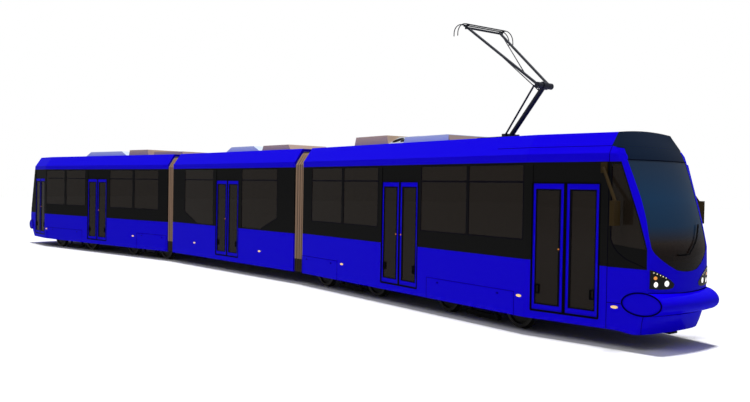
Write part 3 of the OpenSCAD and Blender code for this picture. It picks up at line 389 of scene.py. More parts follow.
def rounded(x0, x1, z0, z1, r, steps=5):
    """Outline of a rectangle with round corners."""
    r = max(0.01, min(r, (x1 - x0) / 2, (z1 - z0) / 2))
    out = []
    for cx, cz, a0 in ((x1 - r, z1 - r, 0), (x0 + r, z1 - r, 90), (x0 + r, z0 + r, 180), (x1 - r, z0 + r, 270)):
        for k in range(steps + 1):
            a = math.radians(a0 + 90 * k / steps)
            out.append((cx + r * math.cos(a), cz + r * math.sin(a)))
    return out


def oval(cx, cz, rx, rz, n=32):
    turns = [2 * math.pi * k / n for k in range(n)]
    return [(cx + rx * math.cos(a), cz + rz * math.sin(a)) for a in turns]


def span(a, b, n):
    return [float(v) for v in np.linspace(a, b, n)]


# CAD nodes

paints = {
    paint: ["mid_roof", "front_roof", "rear_roof", "nose", "front_bumper", "rear_bumper"],
    glass: ["mid_glazing", "front_glazing", "rear_glazing", "tail_window"],
    screen: ["windscreen"],
    fairing: ["roof_fairing"],
    lamp_black: ["headlamps"],
    red: ["tail_lamps"],
    mirror_case: ["mirrors"],
    desk: ["cab_desk"],
    seat_cover: ["mid_seats", "front_seats", "rear_seats"],
    lining: ["mid_portals", "front_portal", "rear_portal"],
    under: ["mid_floor", "front_floor", "rear_floor", "front_underframe", "rear_underframe"],
    bogie: [f"bogie_{i}" for i in range(1, 5)],
    shaded_wheel: [f"wheelset_{i}" for i in range(1, 9)],
    arm: ["panto_base", "panto_lower_arm", "panto_rod", "panto_upper_arm", "panto_head"],
    side_paint["middle_section"]: ["mid_sides"],
    side_paint["front_section"]: ["front_sides"],
    side_paint["rear_section"]: ["rear_sides", "tail_shell"],
    door_paint["middle_section"]: ["mid_doors"],
    door_paint["front_section"]: ["front_doors"],
    door_paint["rear_section"]: ["rear_doors"],
    gaiter: ["gaiter_front", "gaiter_rear"],
    case_paint["middle_section"]: ["mid_roof_box"],
    case_paint["front_section"]: ["front_roof_boxes"],
    case_paint["rear_section"]: ["rear_roof_boxes"],
}
for mat, names in paints.items():
    for n in names:
        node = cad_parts[n]
        node.data.materials.clear()
        node.data.materials.append(mat)


# Nose and tail as smooth skins


def smooth_at(rows, z, column):
    """Value of a table column at z on a smooth curve through the rows."""
    zs = [r[0] for r in rows]
    k = int(np.clip(np.searchsorted(zs, z) - 1, 0, len(rows) - 2))
    p = [rows[min(max(i, 0), len(rows) - 1)] for i in (k - 1, k, k + 1, k + 2)]
    h = p[2][0] - p[1][0]
    t = (z - p[1][0]) / h
    slope = []
    for a, b in ((0, 2), (1, 3)):
        d = p[b][0] - p[a][0]
        slope.append((p[b][column] - p[a][column]) / d * h if d else 0.0)
    return ((2 * t**3 - 3 * t**2 + 1) * p[1][column] + (t**3 - 2 * t**2 + t) * slope[0]
            + (3 * t**2 - 2 * t**3) * p[2][column] + (t**3 - t**2) * slope[1])


def edge_at(table, v):
    """Second column of a table at a value of its first, straight between the rows."""
    return float(np.interp(v, [r[0] for r in table], [r[1] for r in table]))


class End:
    """Rounded end of a section: rows of (height, corner x from the seam, bulge of the front)."""

    # Reach of the corner rounding along the side, and along the front, by height
    SIDE_REACH = [(SKIRT_Z, 110.0), (560.0, 60.0), (900.0, 24.0)]
    FRONT_REACH = [(SKIRT_Z, 330.0), (560.0, 160.0), (900.0, 60.0), (1450.0, 60.0),
                   (1800.0, 130.0), (2600.0, 140.0), (2800.0, 60.0)]

    def __init__(self, rows, seam_x, taper_x, taper_a):
        self.rows, self.seam_x, self.taper_x = rows, seam_x, taper_x
        self.tilt = math.tan(math.radians(taper_a))

    def wall_y(self, x, z):
        """Half width of the end at a place along it and a height."""
        return HALF - (x - self.taper_x) * self.tilt - max(0.0, z - GUTTER_Z) * ROOF_IN / (ROOF_Z - GUTTER_Z)

    def corner_x(self, z):
        return self.seam_x + smooth_at(self.rows, z, 1)

    def front(self, y, z, out=0.0):
        """Point of the front face at a place across and a height, out ahead of it."""
        xc = self.corner_x(z)
        s = y / self.wall_y(xc, z)
        return (xc + smooth_at(self.rows, z, 2) * (1 - s * s) + out, y, z)

    def outline(self, z, x0, y1):
        """Points of the right half at one height: along the side from x0, round the corner, and in to -y1."""
        xc = self.corner_x(z)
        yc = self.wall_y(xc, z)
        xa, yb = max(x0, xc - edge_at(self.SIDE_REACH, z)), max(y1, yc - edge_at(self.FRONT_REACH, z))
        a, c, b = (xa, -self.wall_y(xa, z)), (xc, -yc), self.front(-yb, z)[:2]
        pts = [(x, -self.wall_y(x, z)) for x in span(x0, xa, 12)[:-1]]
        for t in span(0, 1, 10)[:-1]:
            pts.append(tuple((1 - t) ** 2 * a[k] + 2 * t * (1 - t) * c[k] + t * t * b[k] for k in (0, 1)))
        return pts + [self.front(-y, z)[:2] for y in span(yb, y1, 24)]

    def row(self, z, x0, n, y1=0.0, x1=None):
        """n points at one height, evenly spaced from x0 on the side to -y1 on the front, or to where x1 is reached."""
        pts = np.array(self.outline(z, x0, y1))
        if x1 is not None:
            keep = pts[:, 0] < x1
            k = int(np.argmin(keep)) if not keep.all() else len(pts)
            last = [x1, np.interp(x1, pts[:, 0], pts[:, 1])]
            pts = np.vstack([pts[:k], last])
        way = np.concatenate([[0], np.cumsum(np.hypot(*np.diff(pts, axis=0).T))])
        at = np.linspace(0, way[-1], n)
        return [(float(np.interp(t, way, pts[:, 0])), float(np.interp(t, way, pts[:, 1])), z) for t in at]

    def patch(self, piece, outline, out, rows=12, columns=12):
        """A sheet on the front face inside an outline of (y, z), out ahead of the face."""
        zs = [p[1] for p in outline]
        sheet = []
        for z in span(min(zs) + 0.5, max(zs) - 0.5, rows):
            cuts = []
            for (ya, za), (yb, zb) in zip(outline, outline[1:] + outline[:1]):
                if (za - z) * (zb - z) < 0:
                    cuts.append(ya + (yb - ya) * (z - za) / (zb - za))
            sheet.append([self.front(y, z, out) for y in span(min(cuts), max(cuts), columns)])
        piece.sheet(sheet)


nose = End([(SKIRT_Z, 482, 70), (420, 542, 110), (560, 577, 140), (930, 604, 150), (1200, 604, 150),
            (1455, 585, 150), (1760, 517, 150), (2064, 426, 150), (2400, 307, 150), (2730, 178, 150),
            (GUTTER_Z, 124, 140), (3000, 70, 100), (3110, 24, 50), (ROOF_Z, -8, 6)], SEAM_X, TAPER_X, TAPER_A)
tail = End([(SKIRT_Z, 150, 60), (470, 330, 80), (700, 500, 100), (866, 562, 110), (1233, 526, 120),
            (1760, 375, 120), (2300, 220, 115), (GUTTER_Z, 55, 90), (3060, 50, 60), (ROOF_Z, 45, 30)],
           TAIL_SEAM_X, TAIL_TAPER_X, TAIL_TAPER_A)
# Windscreen: height, half width
SCREEN_EDGE = [(SCREEN_LOW + z, w) for z, w in (
    (0, 0), (6, 120), (25, 250), (95, 400), (188, 550), (271, 645), (342, 690), (505, 703), (748, 690),
    (1035, 690), (1366, 715), (1631, 736))]
# Cab window: height, where its front edge is along the side; then along the side, height of its lower edge
CAB_REAR, CAB_END = SEAM_X + 45, SEAM_X + 574
CAB_FRONT = [(1205, CAB_END), (1475, SEAM_X + 572), (1626, SEAM_X + 532), (1888, SEAM_X + 457),
             (2256, SEAM_X + 332), (VENT_TOP, SEAM_X + 181), (BAND_Z, SEAM_X + 168)]
CAB_LOW = [(CAB_REAR, 1600), (SEAM_X + 85, 1500), (SEAM_X + 150, 1410), (SEAM_X + 281, 1314),
           (SEAM_X + 416, 1263), (CAB_END, 1205)]
# Black rim between the cab window and the corner pillar
CAB_RIM = 16.0
# Dark strip where the inner sill shows: its height at the seam, its slope, how far out of the glass
SILL_TOP, SILL_SLOPE, SILL_OUT = 1529.0, 0.115, 1.5
# Lower edge of the roof fairing: height, where it is along the side
CAP_Z = 2970.0
FAIRING_EDGE = [(FAIRING_Z, SEAM_X + 204), (2830, SEAM_X + 182), (2940, SEAM_X + 122), (CAP_Z, SEAM_X + 7)]
# Rise of the fairing's top in its middle, and points in each of its rows
CROWN, CAP_POINTS = 36.0, 40
# The skirt hangs lower ahead of the side: by how much, from where, over what length, fading out over what height
SKIRT_DROP, DROP_X, DROP_RUN, DROP_H = 34.0, SEAM_X + 120, 340.0, 260.0
# Panes lie this far behind the skins
GLASS_IN = 4.0
TAIL_PANE = 640.0
belt = BELT["front_section"]

skin = Piece("nose_skin", "front_section", paint)
low_levels = span(SKIRT_Z, SCREEN_LOW, 30) + [SCREEN_LOW + d for d in (2, 6, 12, 25)] + [belt]


def lowered(p):
    """The skirt hangs a little lower ahead of the side."""
    x, y, z = p
    ahead = min(1.0, max(0.0, (x - DROP_X) / DROP_RUN))
    return (x, y, z - SKIRT_DROP * ahead * ahead * (3 - 2 * ahead) * max(0.0, 1 - (z - SKIRT_Z) / DROP_H))


def on_side(x, z, out=0.0):
    """Point of the right side of the nose, out of its face."""
    return (x, -nose.wall_y(x, z) - out, z)


def crowned(p):
    """The top of the fairing rises a little towards its middle."""
    x, y, z = p
    up = max(0.0, (z - CAP_Z - 1) / (ROOF_Z - CAP_Z - 1))
    return (x, y, z + CROWN * up * up * max(0.0, 1 - (y / nose.wall_y(x, z)) ** 2))


skin.both([[lowered(q) for q in nose.row(z, SEAM_X, 60, edge_at(SCREEN_EDGE, z))] for z in low_levels])
# corner pillar between cab window and windscreen, then up to the fairing
skin.both([nose.row(z, edge_at(CAB_FRONT, z) + CAB_RIM, 24, edge_at(SCREEN_EDGE, z)) for z in span(belt, BAND_Z, 50)])
skin.both([nose.row(z, SEAM_X, 30, edge_at(SCREEN_EDGE, z)) for z in span(BAND_Z, FAIRING_Z, 3)])
skin.both([nose.row(z, SEAM_X if z < GUTTER_Z else ROOF_END_X, 30, 0, edge_at(FAIRING_EDGE, z))
           for z in span(FAIRING_Z, CAP_Z, 12)])
skin.done(smooth=True, stands_for=["nose"])

# black round the cab window: below, behind and above it, and the rim along its front edge
cab_band = Piece("cab_band", "front_section", band)
below = [(x, edge_at(CAB_LOW, x)) for x in [SEAM_X, CAB_REAR - 1] + span(CAB_REAR, CAB_END, 22)]
cab_band.both([[on_side(x, belt + (top - belt) * t) for x, top in below] for t in span(0, 1, 8)])
cab_band.both([[on_side(x, z) for x in (SEAM_X, CAB_REAR)] for z in (CAB_LOW[0][1] - 10, VENT_TOP)])
cab_band.both([[on_side(x, z) for x in span(SEAM_X, edge_at(CAB_FRONT, z), 8)] for z in (VENT_TOP, BAND_Z)])
cab_band.both([[on_side(edge_at(CAB_FRONT, z) + d, z) for d in (-6, CAB_RIM)] for z in span(belt, BAND_Z, 30)])
# dark strip on the lower part of the cab glass, where the inner sill shows
sill = [(x, edge_at(CAB_LOW, x), SILL_TOP - (x - SEAM_X) * SILL_SLOPE) for x in span(SEAM_X + 80, SEAM_X + 570, 16)]
cab_band.both([[on_side(x, low + (top - low) * t, SILL_OUT) for x, low, top in sill] for t in (0, 1)])
cab_band.done(smooth=True)

glass_skin = Piece("windscreen_skin", "front_section", screen)
levels = [SCREEN_LOW + d for d in (0.5, 2, 6, 12, 25, 45, 70)] + span(SCREEN_LOW + 95, FAIRING_Z, 40)
glass_skin.sheet([[nose.front(s * edge_at(SCREEN_EDGE, z), z, -GLASS_IN) for s in span(-1, 1, 31)] for z in levels])
glass_skin.done(smooth=True, stands_for=["windscreen"])

cap = Piece("fairing_skin", "front_section", fairing)
cap.both([[crowned(q) for q in nose.row(z, ROOF_END_X, CAP_POINTS)] for z in span(CAP_Z + 1, ROOF_Z, 14)])
low_cap = []
for z in span(FAIRING_Z, CAP_Z, 14):
    whole = nose.row(z, SEAM_X, 400)
    ahead = [p for p in whole if p[0] >= edge_at(FAIRING_EDGE, z)]
    low_cap.append([ahead[round(i * (len(ahead) - 1) / (CAP_POINTS - 1))] for i in range(CAP_POINTS)])
cap.both(low_cap)
edge = nose.row(ROOF_Z, ROOF_END_X, CAP_POINTS)
back = [(ROOF_END_X, y, z) for _, y, z in edge]
cap.both([[crowned(q) for q in edge], [crowned(q) for q in back], back])
cap.done(smooth=True, stands_for=["roof_fairing"])

tail_skin = Piece("tail_skin", "rear_section", side_paint["rear_section"])
# below, beside and above the tail window
tail_skin.both([tail.row(z, TAIL_SEAM_X, 40) for z in span(SKIRT_Z, SILL_Z, 36)])
tail_skin.both([tail.row(z, TAIL_SEAM_X, 30, TAIL_PANE) for z in span(SILL_Z, VENT_TOP, 24)])
tail_skin.both([tail.row(z, TAIL_SEAM_X, 40) for z in span(VENT_TOP, ROOF_Z, 16)])
edge = tail.row(ROOF_Z, TAIL_SEAM_X, 40)
tail_skin.both([edge, [(TAIL_SEAM_X, y, z) for _, y, z in edge]])
tail_skin.done(smooth=True, stands_for=["tail_shell"])
tail_glass = Piece("tail_window_skin", "rear_section", glass)
pane = [(-TAIL_PANE, SILL_Z), (TAIL_PANE, SILL_Z), (TAIL_PANE, VENT_TOP), (-TAIL_PANE, VENT_TOP)]
tail.patch(tail_glass, pane, -GLASS_IN, 24, 24)
tail_glass.done(smooth=True, stands_for=["tail_window"])
LENS_Y, LENS_R, LENS_OUT = 640.0, 60.0, 6.0
lenses = Piece("tail_lenses", "rear_section", red)
for y in (-LENS_Y, LENS_Y):
    for z in (1010, 1160):
        tail.patch(lenses, oval(y, z, LENS_R, LENS_R), LENS_OUT)
lenses.done(smooth=True, stands_for=["tail_lamps"])

# Headlamp units: black glass with a row of small lamps over an amber and two white ones
LAMP = [(-735, 906), (-735, 1184), (-664, 1168), (-525, 1108), (-390, 1036), (-306, 974), (-312, 932),
        (-345, 908), (-420, 896), (-560, 896)]
LEDS = [(-676, 1142), (-624, 1125), (-570, 1105), (-524, 1086), (-472, 1066)]
SPOTS = [(-640, 972, 34, 40), (-455, 982, 42, 44)]
AMBER = (-650, 1066, 30, 26)
LED_R, UNIT_OUT, LIGHT_OUT = 9.0, 5.0, 10.0
units = Piece("lamp_units", "front_section", lamp_black)
whites = Piece("lamp_spots", "front_section", lamp_white)
leds = Piece("lamp_leds", "front_section", lamp_led)
ambers = Piece("lamp_ambers", "front_section", lamp_amber)
for s in (1, -1):
    nose.patch(units, [(s * y, z) for y, z in LAMP], UNIT_OUT, 20, 20)
    for lights, spots in ((whites, SPOTS), (ambers, [AMBER])):
        for y, z, ry, rz in spots:
            nose.patch(lights, oval(s * y, z, ry, rz, 24), LIGHT_OUT)
    for y, z in LEDS:
        nose.patch(leds, oval(s * y, z, LED_R, LED_R, 16), LIGHT_OUT)
units.done(smooth=True, stands_for=["headlamps"])
for lights in (whites, leds, ambers):
    lights.done(smooth=True)


# Bumpers: an oval bar on a wide arc, its ends a little out of the sides

RIM_R, BUMP_LINE_R = 11.0, 6.0


def bumper(name, body, end, end_x, depth, stands_for):
    """The bar on one end of the tram, with a dark rim round its end ovals, a seam along its top and a dark line of
    painted shade along its underside.
    """
    p = Piece(name, body, paint)
    w = end.wall_y(end_x, 0)
    path_r = (w * w + BUMP_SAG**2) / (2 * BUMP_SAG)
    path_x = end_x + BUMP_SAG

    def at(s, a, size=1.0):
        """s runs from the right end to the left one, a round the oval."""
        y = 0.0
        # the end of the bar follows the tapering side, so x and y are found in turn
        for _ in range(6):
            x = path_x - path_r + math.sqrt(path_r**2 - y * y) + size * depth * math.cos(a)
            y = s * (end.wall_y(x, 0) + BUMP_PROUD)
        return (x, y, BUMP_Z + size * BUMP_H * math.sin(a))

    around = span(0, 2 * math.pi, 49)
    p.sheet([[at(s, a) for a in around] for s in span(-1, 1, 41)])
    rim = Piece(name + "_rim", body, seam)
    for s in (-1, 1):
        p.sheet([[at(s, a, size) for a in around] for size in span(0.01, 1, 6)])
        rim.tube([at(s * 1.002, a, 0.95) for a in around], RIM_R, 6)
    # a seam along the top, where the bar leaves the body, and painted shade along the crease under the bar
    for way, reach in ((1, 0.97), (-1, 0.86)):
        line = []
        for s in span(-reach, reach, 25):
            low, high = 0.0, math.pi / 2
            for _ in range(20):
                a = (low + high) / 2
                x, y, z = at(s, way * a)
                low, high = (a, high) if x > end.front(y, z)[0] else (low, a)
            line.append((x + 2, y, z + 2 * way))
        rim.tube(line, BUMP_LINE_R, 6)
    p.done(smooth=True, stands_for=[stands_for])
    rim.done(smooth=True)


bumper("bumper_skin", "front_section", nose, SEAM_X + 533, BUMP_D, "front_bumper")
bumper("tail_bumper_skin", "rear_section", tail, TAIL_SEAM_X + 427, TAIL_BUMP_D, "rear_bumper")

# Doors: rubber round the pair and between the leaves, gaskets, handle rings and buttons

DOORS = [
    ("front_section", cab_wall, DOOR1_POST + DOOR_W / 2, (-100,)),
    ("front_section", straight, DOOR2_X, (-100, 50)),
    ("middle_section", straight, 0.0, (-100,)),
    ("rear_section", straight, DOOR4_X, (-100,)),
    ("rear_section", tail_wall, DOOR5_POST + DOOR_W / 2, (-100,)),
]
LEAF = (DOOR_W - LEAF_GAP) / 2
# Handle ring: half width, bottom, top, thickness, and how far from the door's edge
RING_W, RING_Z0, RING_Z1, RING_T, RING_IN = 42.0, 660.0, 815.0, 22.0, 105.0
BUTTON_Z = 1385.0
for section, way, middle, buttons in DOORS:
    rubbers = trim("door_rubber", section, rubber)
    edge = DOOR_W / 2
    rubbers.frame(rounded(middle - edge - 14, middle + edge + 14, DOOR_Z - 18, HEAD_Z + 14, 26),
                  rounded(middle - edge + 16, middle + edge - 16, DOOR_Z + 14, HEAD_Z - 8, 10), way, -2, 13)
    rubbers.box(middle - 28, middle + 28, 5, 14, DOOR_Z, HEAD_Z - 6, way)
    for s in (-1, 1):
        a, b = sorted(middle + s * (LEAF_GAP / 2 + d) for d in (INNER_STILE, LEAF - OUTER_STILE))
        z0, z1 = DOOR_Z + LEAF_RAIL, HEAD_Z - 6 - LEAF_RAIL
        # the gasket laps over the stile that meets the other leaf
        lap = (18, 0) if s > 0 else (0, 18)
        trim("door_gasket", section, gasket).frame(rounded(a - lap[0], b + lap[1], z0, z1 + 8, 8),
                                                   rounded(a + 14, b - 14, z0 + 18, z1 - 14, 8), way, 6, 24)
        # handle ring on the outer lower corner of the glass
        u = middle + s * (edge - RING_IN)
        hole = RING_W - RING_T
        rubbers.frame(rounded(u - RING_W, u + RING_W, RING_Z0, RING_Z1, 18),
                      rounded(u - hole, u + hole, RING_Z0 + RING_T, RING_Z1 - RING_T, 10), way, -2, 16)
    for u in buttons:
        trim("door_button", section, button).prism(oval(middle + u, BUTTON_Z, 13, 12, 16), way, 2, 14)

# Windows: gaskets on both sides, and the low middle windows

FRONT_PANES = [(640, 1890), (1962, 3215), (4598, 5850), (5905, 7185)]
REAR_PANES = [(725, 1990), (2085, 3375), (4870, 6108), (6218, 7484)]
PANES = [
    ("front_section", straight, FRONT_PANES),
    ("front_section", mirrored(straight), FRONT_PANES + [(3365, 4535)]),
    ("front_section", mirrored(cab_wall), [(DOOR1_POST, DOOR1_POST + DOOR_W)]),
    ("rear_section", straight, REAR_PANES),
    ("rear_section", mirrored(straight), REAR_PANES + [(3470, 4735)]),
    ("rear_section", mirrored(tail_wall), [(DOOR5_POST, DOOR5_POST + DOOR_W)]),
]
# Depths from the outer face between which a window gasket lies
GASKET_D = (-2, 5)
for section, way, panes in PANES:
    gaskets = trim("window_gasket", section, gasket)
    for a, b in panes:
        gaskets.frame(rounded(a - 12, b + 12, SILL_Z - 12, VENT_TOP + 12, 26),
                      rounded(a + 4, b - 4, SILL_Z + 4, VENT_TOP - 4, 18), way, *GASKET_D)
        gaskets.box(a, b, *GASKET_D, HEAD_Z, VENT_Z, way)
# Low windows of the middle section, with a slanting corner
LOW_A, LOW_B, LOW_RIM = 738.0, 2345.0, 14.0
LOW_PANE = [(LOW_A, LOW_SILL_Z), (1605, LOW_SILL_Z), (LOW_B, SILL_Z), (LOW_B, VENT_TOP), (LOW_A, VENT_TOP)]
for side in (straight, mirrored(straight)):
    for s in (-1, 1):
        gaskets = trim("window_gasket", "middle_section", gasket)
        outer = [(s * (u + (LOW_RIM if u > 1000 else -LOW_RIM)), z + (LOW_RIM if z > 2000 else -LOW_RIM))
                 for u, z in LOW_PANE]
        gaskets.frame(outer, [(s * u, z) for u, z in LOW_PANE], side, *GASKET_D)
        gaskets.box(*sorted((s * LOW_A, s * LOW_B)), *GASKET_D, HEAD_Z, VENT_Z, side)

# Skirt hatches, seams, markers and gutters

HATCHES = [("front_section", 235, 1740, 673), ("front_section", 4796, 7022, 642),
           ("rear_section", 306, 1838, 736), ("rear_section", 5050, 7410, 666)]
# Length of the tapered walls
CAB_WALL, TAIL_WALL = DOOR1_POST + DOOR_W + SEAM_POST, DOOR5_POST + DOOR_W + TAIL_POST
MARKERS = [
    ("front_section", straight, 1928, 622),
    ("front_section", straight, 7130, 590),
    ("middle_section", straight, -1751, 630),
    ("middle_section", straight, 1600, 634),
    ("rear_section", straight, 2038, 633),
    ("rear_section", straight, 7452, 610),
    ("front_section", cab_wall, CAB_WALL + 125, 598),
]
GUTTERS = [
    ("middle_section", straight, -PIVOT_GAP / 2 + END_GAP, PIVOT_GAP / 2 - END_GAP),
    ("front_section", straight, END_GAP, TAPER_X),
    ("front_section", cab_wall, 0, CAB_WALL),
    ("rear_section", straight, END_GAP, TAIL_TAPER_X),
    ("rear_section", tail_wall, 0, TAIL_WALL),
]
# Depths from the outer face between which a line lies, half its width, and the half axes of a hatch latch
LINE_D, LINE_W, LATCH = (-1.5, 3), 5.0, (30, 16)
MARKER = (56, 22)
for side in (lambda way: way, mirrored):
    for section, x0, x1, top in HATCHES:
        lines = trim("hatch_line", section, hatch_line)
        lines.box(x0, x1, *LINE_D, top - LINE_W, top + LINE_W, side(straight))
        for x in (x0, x1):
            lines.box(x - LINE_W, x + LINE_W, *LINE_D, SKIRT_Z + 2, top, side(straight))
        for t in (0.14, 0.83):
            lines.prism(oval(x0 + (x1 - x0) * t, top - 70, *LATCH, 16), side(straight), -3, 2)
    for section, way, u, z in MARKERS:
        trim("marker", section, marker).prism(oval(u, z, *MARKER), side(way), -7, 2)
    for section, way, u0, u1 in GUTTERS:
        trim("gutter", section, paint).box(u0, u1, -6, 4, GUTTER_Z - 9, GUTTER_Z + 4, side(way))
    seams = trim("panel_line", "front_section", seam)
    seams.box(CAB_WALL - 4, CAB_WALL + 4, *LINE_D, SKIRT_Z + 2, GUTTER_Z, side(cab_wall))
    seams.box(CAB_WALL, CAB_WALL + 245, *LINE_D, 652, 660, side(cab_wall))
# Line along the roof of the front section: height, rear end, half width there
ROOF_LINE_Z, ROOF_LINE_X = 2976.0, 6520.0
ROOF_LINE_Y = HALF - (ROOF_LINE_Z - GUTTER_Z) * ROOF_IN / (ROOF_Z - GUTTER_Z)
apron = [lowered(nose.row(z, SEAM_X, 2, 0, x)[-1])
         for x, z in zip(span(SEAM_X + 540, SEAM_X + 470, 9), span(506, SKIRT_Z, 9))]
cab_edge = [(CAB_REAR, VENT_TOP - 40)] + [(x, edge_at(CAB_LOW, x)) for x in span(CAB_REAR, SEAM_X + 560, 24)]
for s in (-1, 1):
    # upper end of the seam between nose and side, the roof line, the apron's corner, cab glass and screen top
    seams.tube([(x, s * (nose.wall_y(x, z) + 0.5), z)
                for x, z in ((SEAM_X, GUTTER_Z), (SEAM_X - 4, 2900), (ROOF_END_X + 8, 2968))], 4, 6)
    seams.tube([(x, s * (nose.wall_y(x, ROOF_LINE_Z) + 0.5), ROOF_LINE_Z) for x in (TAPER_X, ROOF_END_X)], 3.5, 6)
    seams.tube([(x, s * (ROOF_LINE_Y + 0.5), ROOF_LINE_Z) for x in (ROOF_LINE_X, TAPER_X)], 3.5, 6)
    seams.tube([(x, -s * y, z) for x, y, z in apron], 4, 6)
    seams.tube([(x, s * (nose.wall_y(x, z) + 1), z) for x, z in cab_edge], 5, 6)
    seams.tube([nose.front(s * y, FAIRING_Z, 2) for y in span(0, edge_at(SCREEN_EDGE, FAIRING_Z), 12)], 5, 6)

# Gaiters: folded cloth on both sides, turning from the middle section to the other section's bend at rest

FOLDS = 4
# Height of a fold, share of a fold that is groove, how far the grooves lie inside the wall, height of their top
FOLD_H, GROOVE, GAITER_IN, GAITER_TOP = 38.0, 0.13, 45.0, 3040.0
# Height in metres of the end points given with a gaiter
BLEND_Z = 1.6


def folded(name, other, s, bend, stands_for):
    """s is the end of the middle section, bend the turn of the other section at rest."""
    place = PLACE["middle_section"]
    turned = math.radians(bend)
    pivot = s * PIVOT_GAP / 2
    start = place @ Vector((s * (PIVOT_GAP / 2 - END_GAP) / 1000, 0, BLEND_Z))
    ahead, aside = END_GAP * math.cos(turned), END_GAP * math.sin(turned)
    end = place @ Vector(((pivot + s * ahead) / 1000, s * aside / 1000, BLEND_Z))

    def arch(t):
        """The fold's outline at t, from 0 on the middle section to 1 on the other one."""
        grow = FOLD_H * abs(math.sin(math.pi * FOLDS * t)) ** 0.7
        h, top = HALF - GAITER_IN + grow, GAITER_TOP + grow
        line = [(-h, z) for z in [SKIRT_Z + 17] + span(CLOTH_EDGE_Z + 2, GUTTER_Z - 60, 6)]
        line += [(-h + 30, GUTTER_Z - 20), (-h + 150, top - 50), (-h + 200, top)]
        line += [(-y, z) for y, z in reversed(line)]
        a, x = turned * t, s * (END_GAP - 2) * (2 * t - 1)
        c, d = math.cos(a), math.sin(a)
        return [(pivot + x * c - y * d, x * d + y * c, z) for y, z in line]

    p = Piece(name, "middle_section", gaiter)
    grooves = Piece(name + "_grooves", "middle_section", crease_shade)
    edge = GROOVE / FOLDS
    for k in range(FOLDS):
        first, last = k / FOLDS, (k + 1) / FOLDS
        p.sheet([arch(t) for t in span(first + edge, last - edge, 9)])
        # the grooves take the darker cloth, painted shade in the creases
        for t0, t1 in ((first, first + edge), (last - edge, last)):
            grooves.sheet([arch(t) for t in span(t0, t1, 3)])
    p.done(stands_for=[stands_for], blend=("middle_section", other, start, end))
    grooves.done(blend=("middle_section", other, start, end))


folded("gaiter_folds_front", "front_section", 1, -BEND_FRONT, "gaiter_front")
folded("gaiter_folds_rear", "rear_section", -1, BEND_REAR, "gaiter_rear")

# Wiper

WIPER = [(-229, 1389), (-100, 1384), (4, 1392), (130, 1490), (274, 1606), (370, 1725), (439, 1814)]
wiper = Piece("wiper", "front_section", rubber)
wiper.tube([nose.front(y, z, 22) for y, z in WIPER], 12)
wiper.done(smooth=True)

# Mirror panes on the rear faces of the mirror heads

MIRROR = (SEAM_X + 245, HALF - 115, 1985.0)
panes = Piece("mirror_panes", "front_section", mirror_glass)
turned = math.radians(TAPER_A)
for s in (-1, 1):
    panes.box(-38, -34, -86, 86, -166, 166, lambda x, y, z: (
        MIRROR[0] + x * math.cos(turned) - y * math.sin(turned),
        s * (MIRROR[1] - x * math.sin(turned) - y * math.cos(turned)), MIRROR[2] + z))
panes.done()

# Hood between the front roof cases, with two fans on each slope

HOOD_X0, HOOD_X1 = 2600.0, 3330.0
HOOD = [(-570, 2), (-570, 35), (-240, 188), (240, 188), (570, 35), (570, 2)]
FAN_R, FAN_XS = 128.0, (2855, 3130)
cowl = Piece("case_hood", "front_section", hood)
cowl.prism(HOOD, lambda a, d, b: (d, a, ROOF_Z + b), HOOD_X0, HOOD_X1)
cowl.done()
vents = Piece("case_vents", "front_section", vent)
tilt = math.atan2(HOOD[2][1] - HOOD[1][1], HOOD[2][0] - HOOD[1][0])
slope_y, slope_z = (HOOD[3][0] + HOOD[4][0]) / 2, (HOOD[3][1] + HOOD[4][1]) / 2
for s in (-1, 1):
    for x in FAN_XS:
        vents.prism(oval(x, 0, FAN_R, FAN_R), lambda a, d, b: (
            a, s * (slope_y - b * math.cos(tilt) + d * math.sin(tilt)),
            ROOF_Z + slope_z + b * math.sin(tilt) + d * math.cos(tilt)), -4, 4)
vents.done()

# Pantograph: insulators, stays, strips and horns

feet = Piece("insulators", "front_section", insulator)
for dx in (-340, 460):
    for y in (-430, 430):
        for z in (3, 14):
            feet.disc((PAN_X + dx, y, ROOF_Z + z), UP, 58, 7)
feet.done()


def reach(x, z, length, degrees):
    """The other end of an arm."""
    return (x + length * math.cos(math.radians(degrees)), z + length * math.sin(math.radians(degrees)))


KNEE_X, KNEE_Z = reach(PAN_X, PAN_Z, PAN_LOW, PAN_LOW_A)
PAN_HEAD_X, PAN_HEAD_Z = reach(KNEE_X, KNEE_Z, PAN_UP, 180 - PAN_UP_A)
# The right upper arm from knee to head, and how far along it the stay joins
ARM, STAY_AT = ((KNEE_X, -150, KNEE_Z), (PAN_HEAD_X, -PAN_STRIP / 2 + 95, PAN_HEAD_Z)), 0.62
stay_foot = (KNEE_X + 130, -285, KNEE_Z - 118)
stays = Piece("panto_stays", "panto_upper_arm", arm, section="front_section")
# the first stay stands off the knee, so that it passes outside the coupling rod
stays.tube([(KNEE_X + 15, -180, KNEE_Z - 15), stay_foot], 10)
stays.tube([stay_foot, tuple(k + (h - k) * STAY_AT for k, h in zip(*ARM))], 9)
stays.tube([(PAN_HEAD_X + 30, 420, PAN_HEAD_Z - 10), (KNEE_X - 290, -190, KNEE_Z + 230)], 9)
stays.done(smooth=True)
HORN_R, HORN_LOW, STRIP_END = 200.0, 190.0, PAN_STRIP / 2
strips = Piece("panto_strips", "panto_head", carbon, section="front_section")
for dx in (-52, 52):
    x = PAN_HEAD_X + dx
    for s in (-1, 1):
        horn = [(x, s * (STRIP_END + HORN_R * math.sin(a)), PAN_HEAD_Z - 143 + HORN_R * math.cos(a))
                for a in span(0, math.pi / 2, 9)]
        strips.tube(horn + [(x, s * (STRIP_END + HORN_R), PAN_HEAD_Z - HORN_LOW)], 9)
    strips.box(x - 11, x + 11, -STRIP_END, STRIP_END, PAN_HEAD_Z + 46, PAN_HEAD_Z + 64)
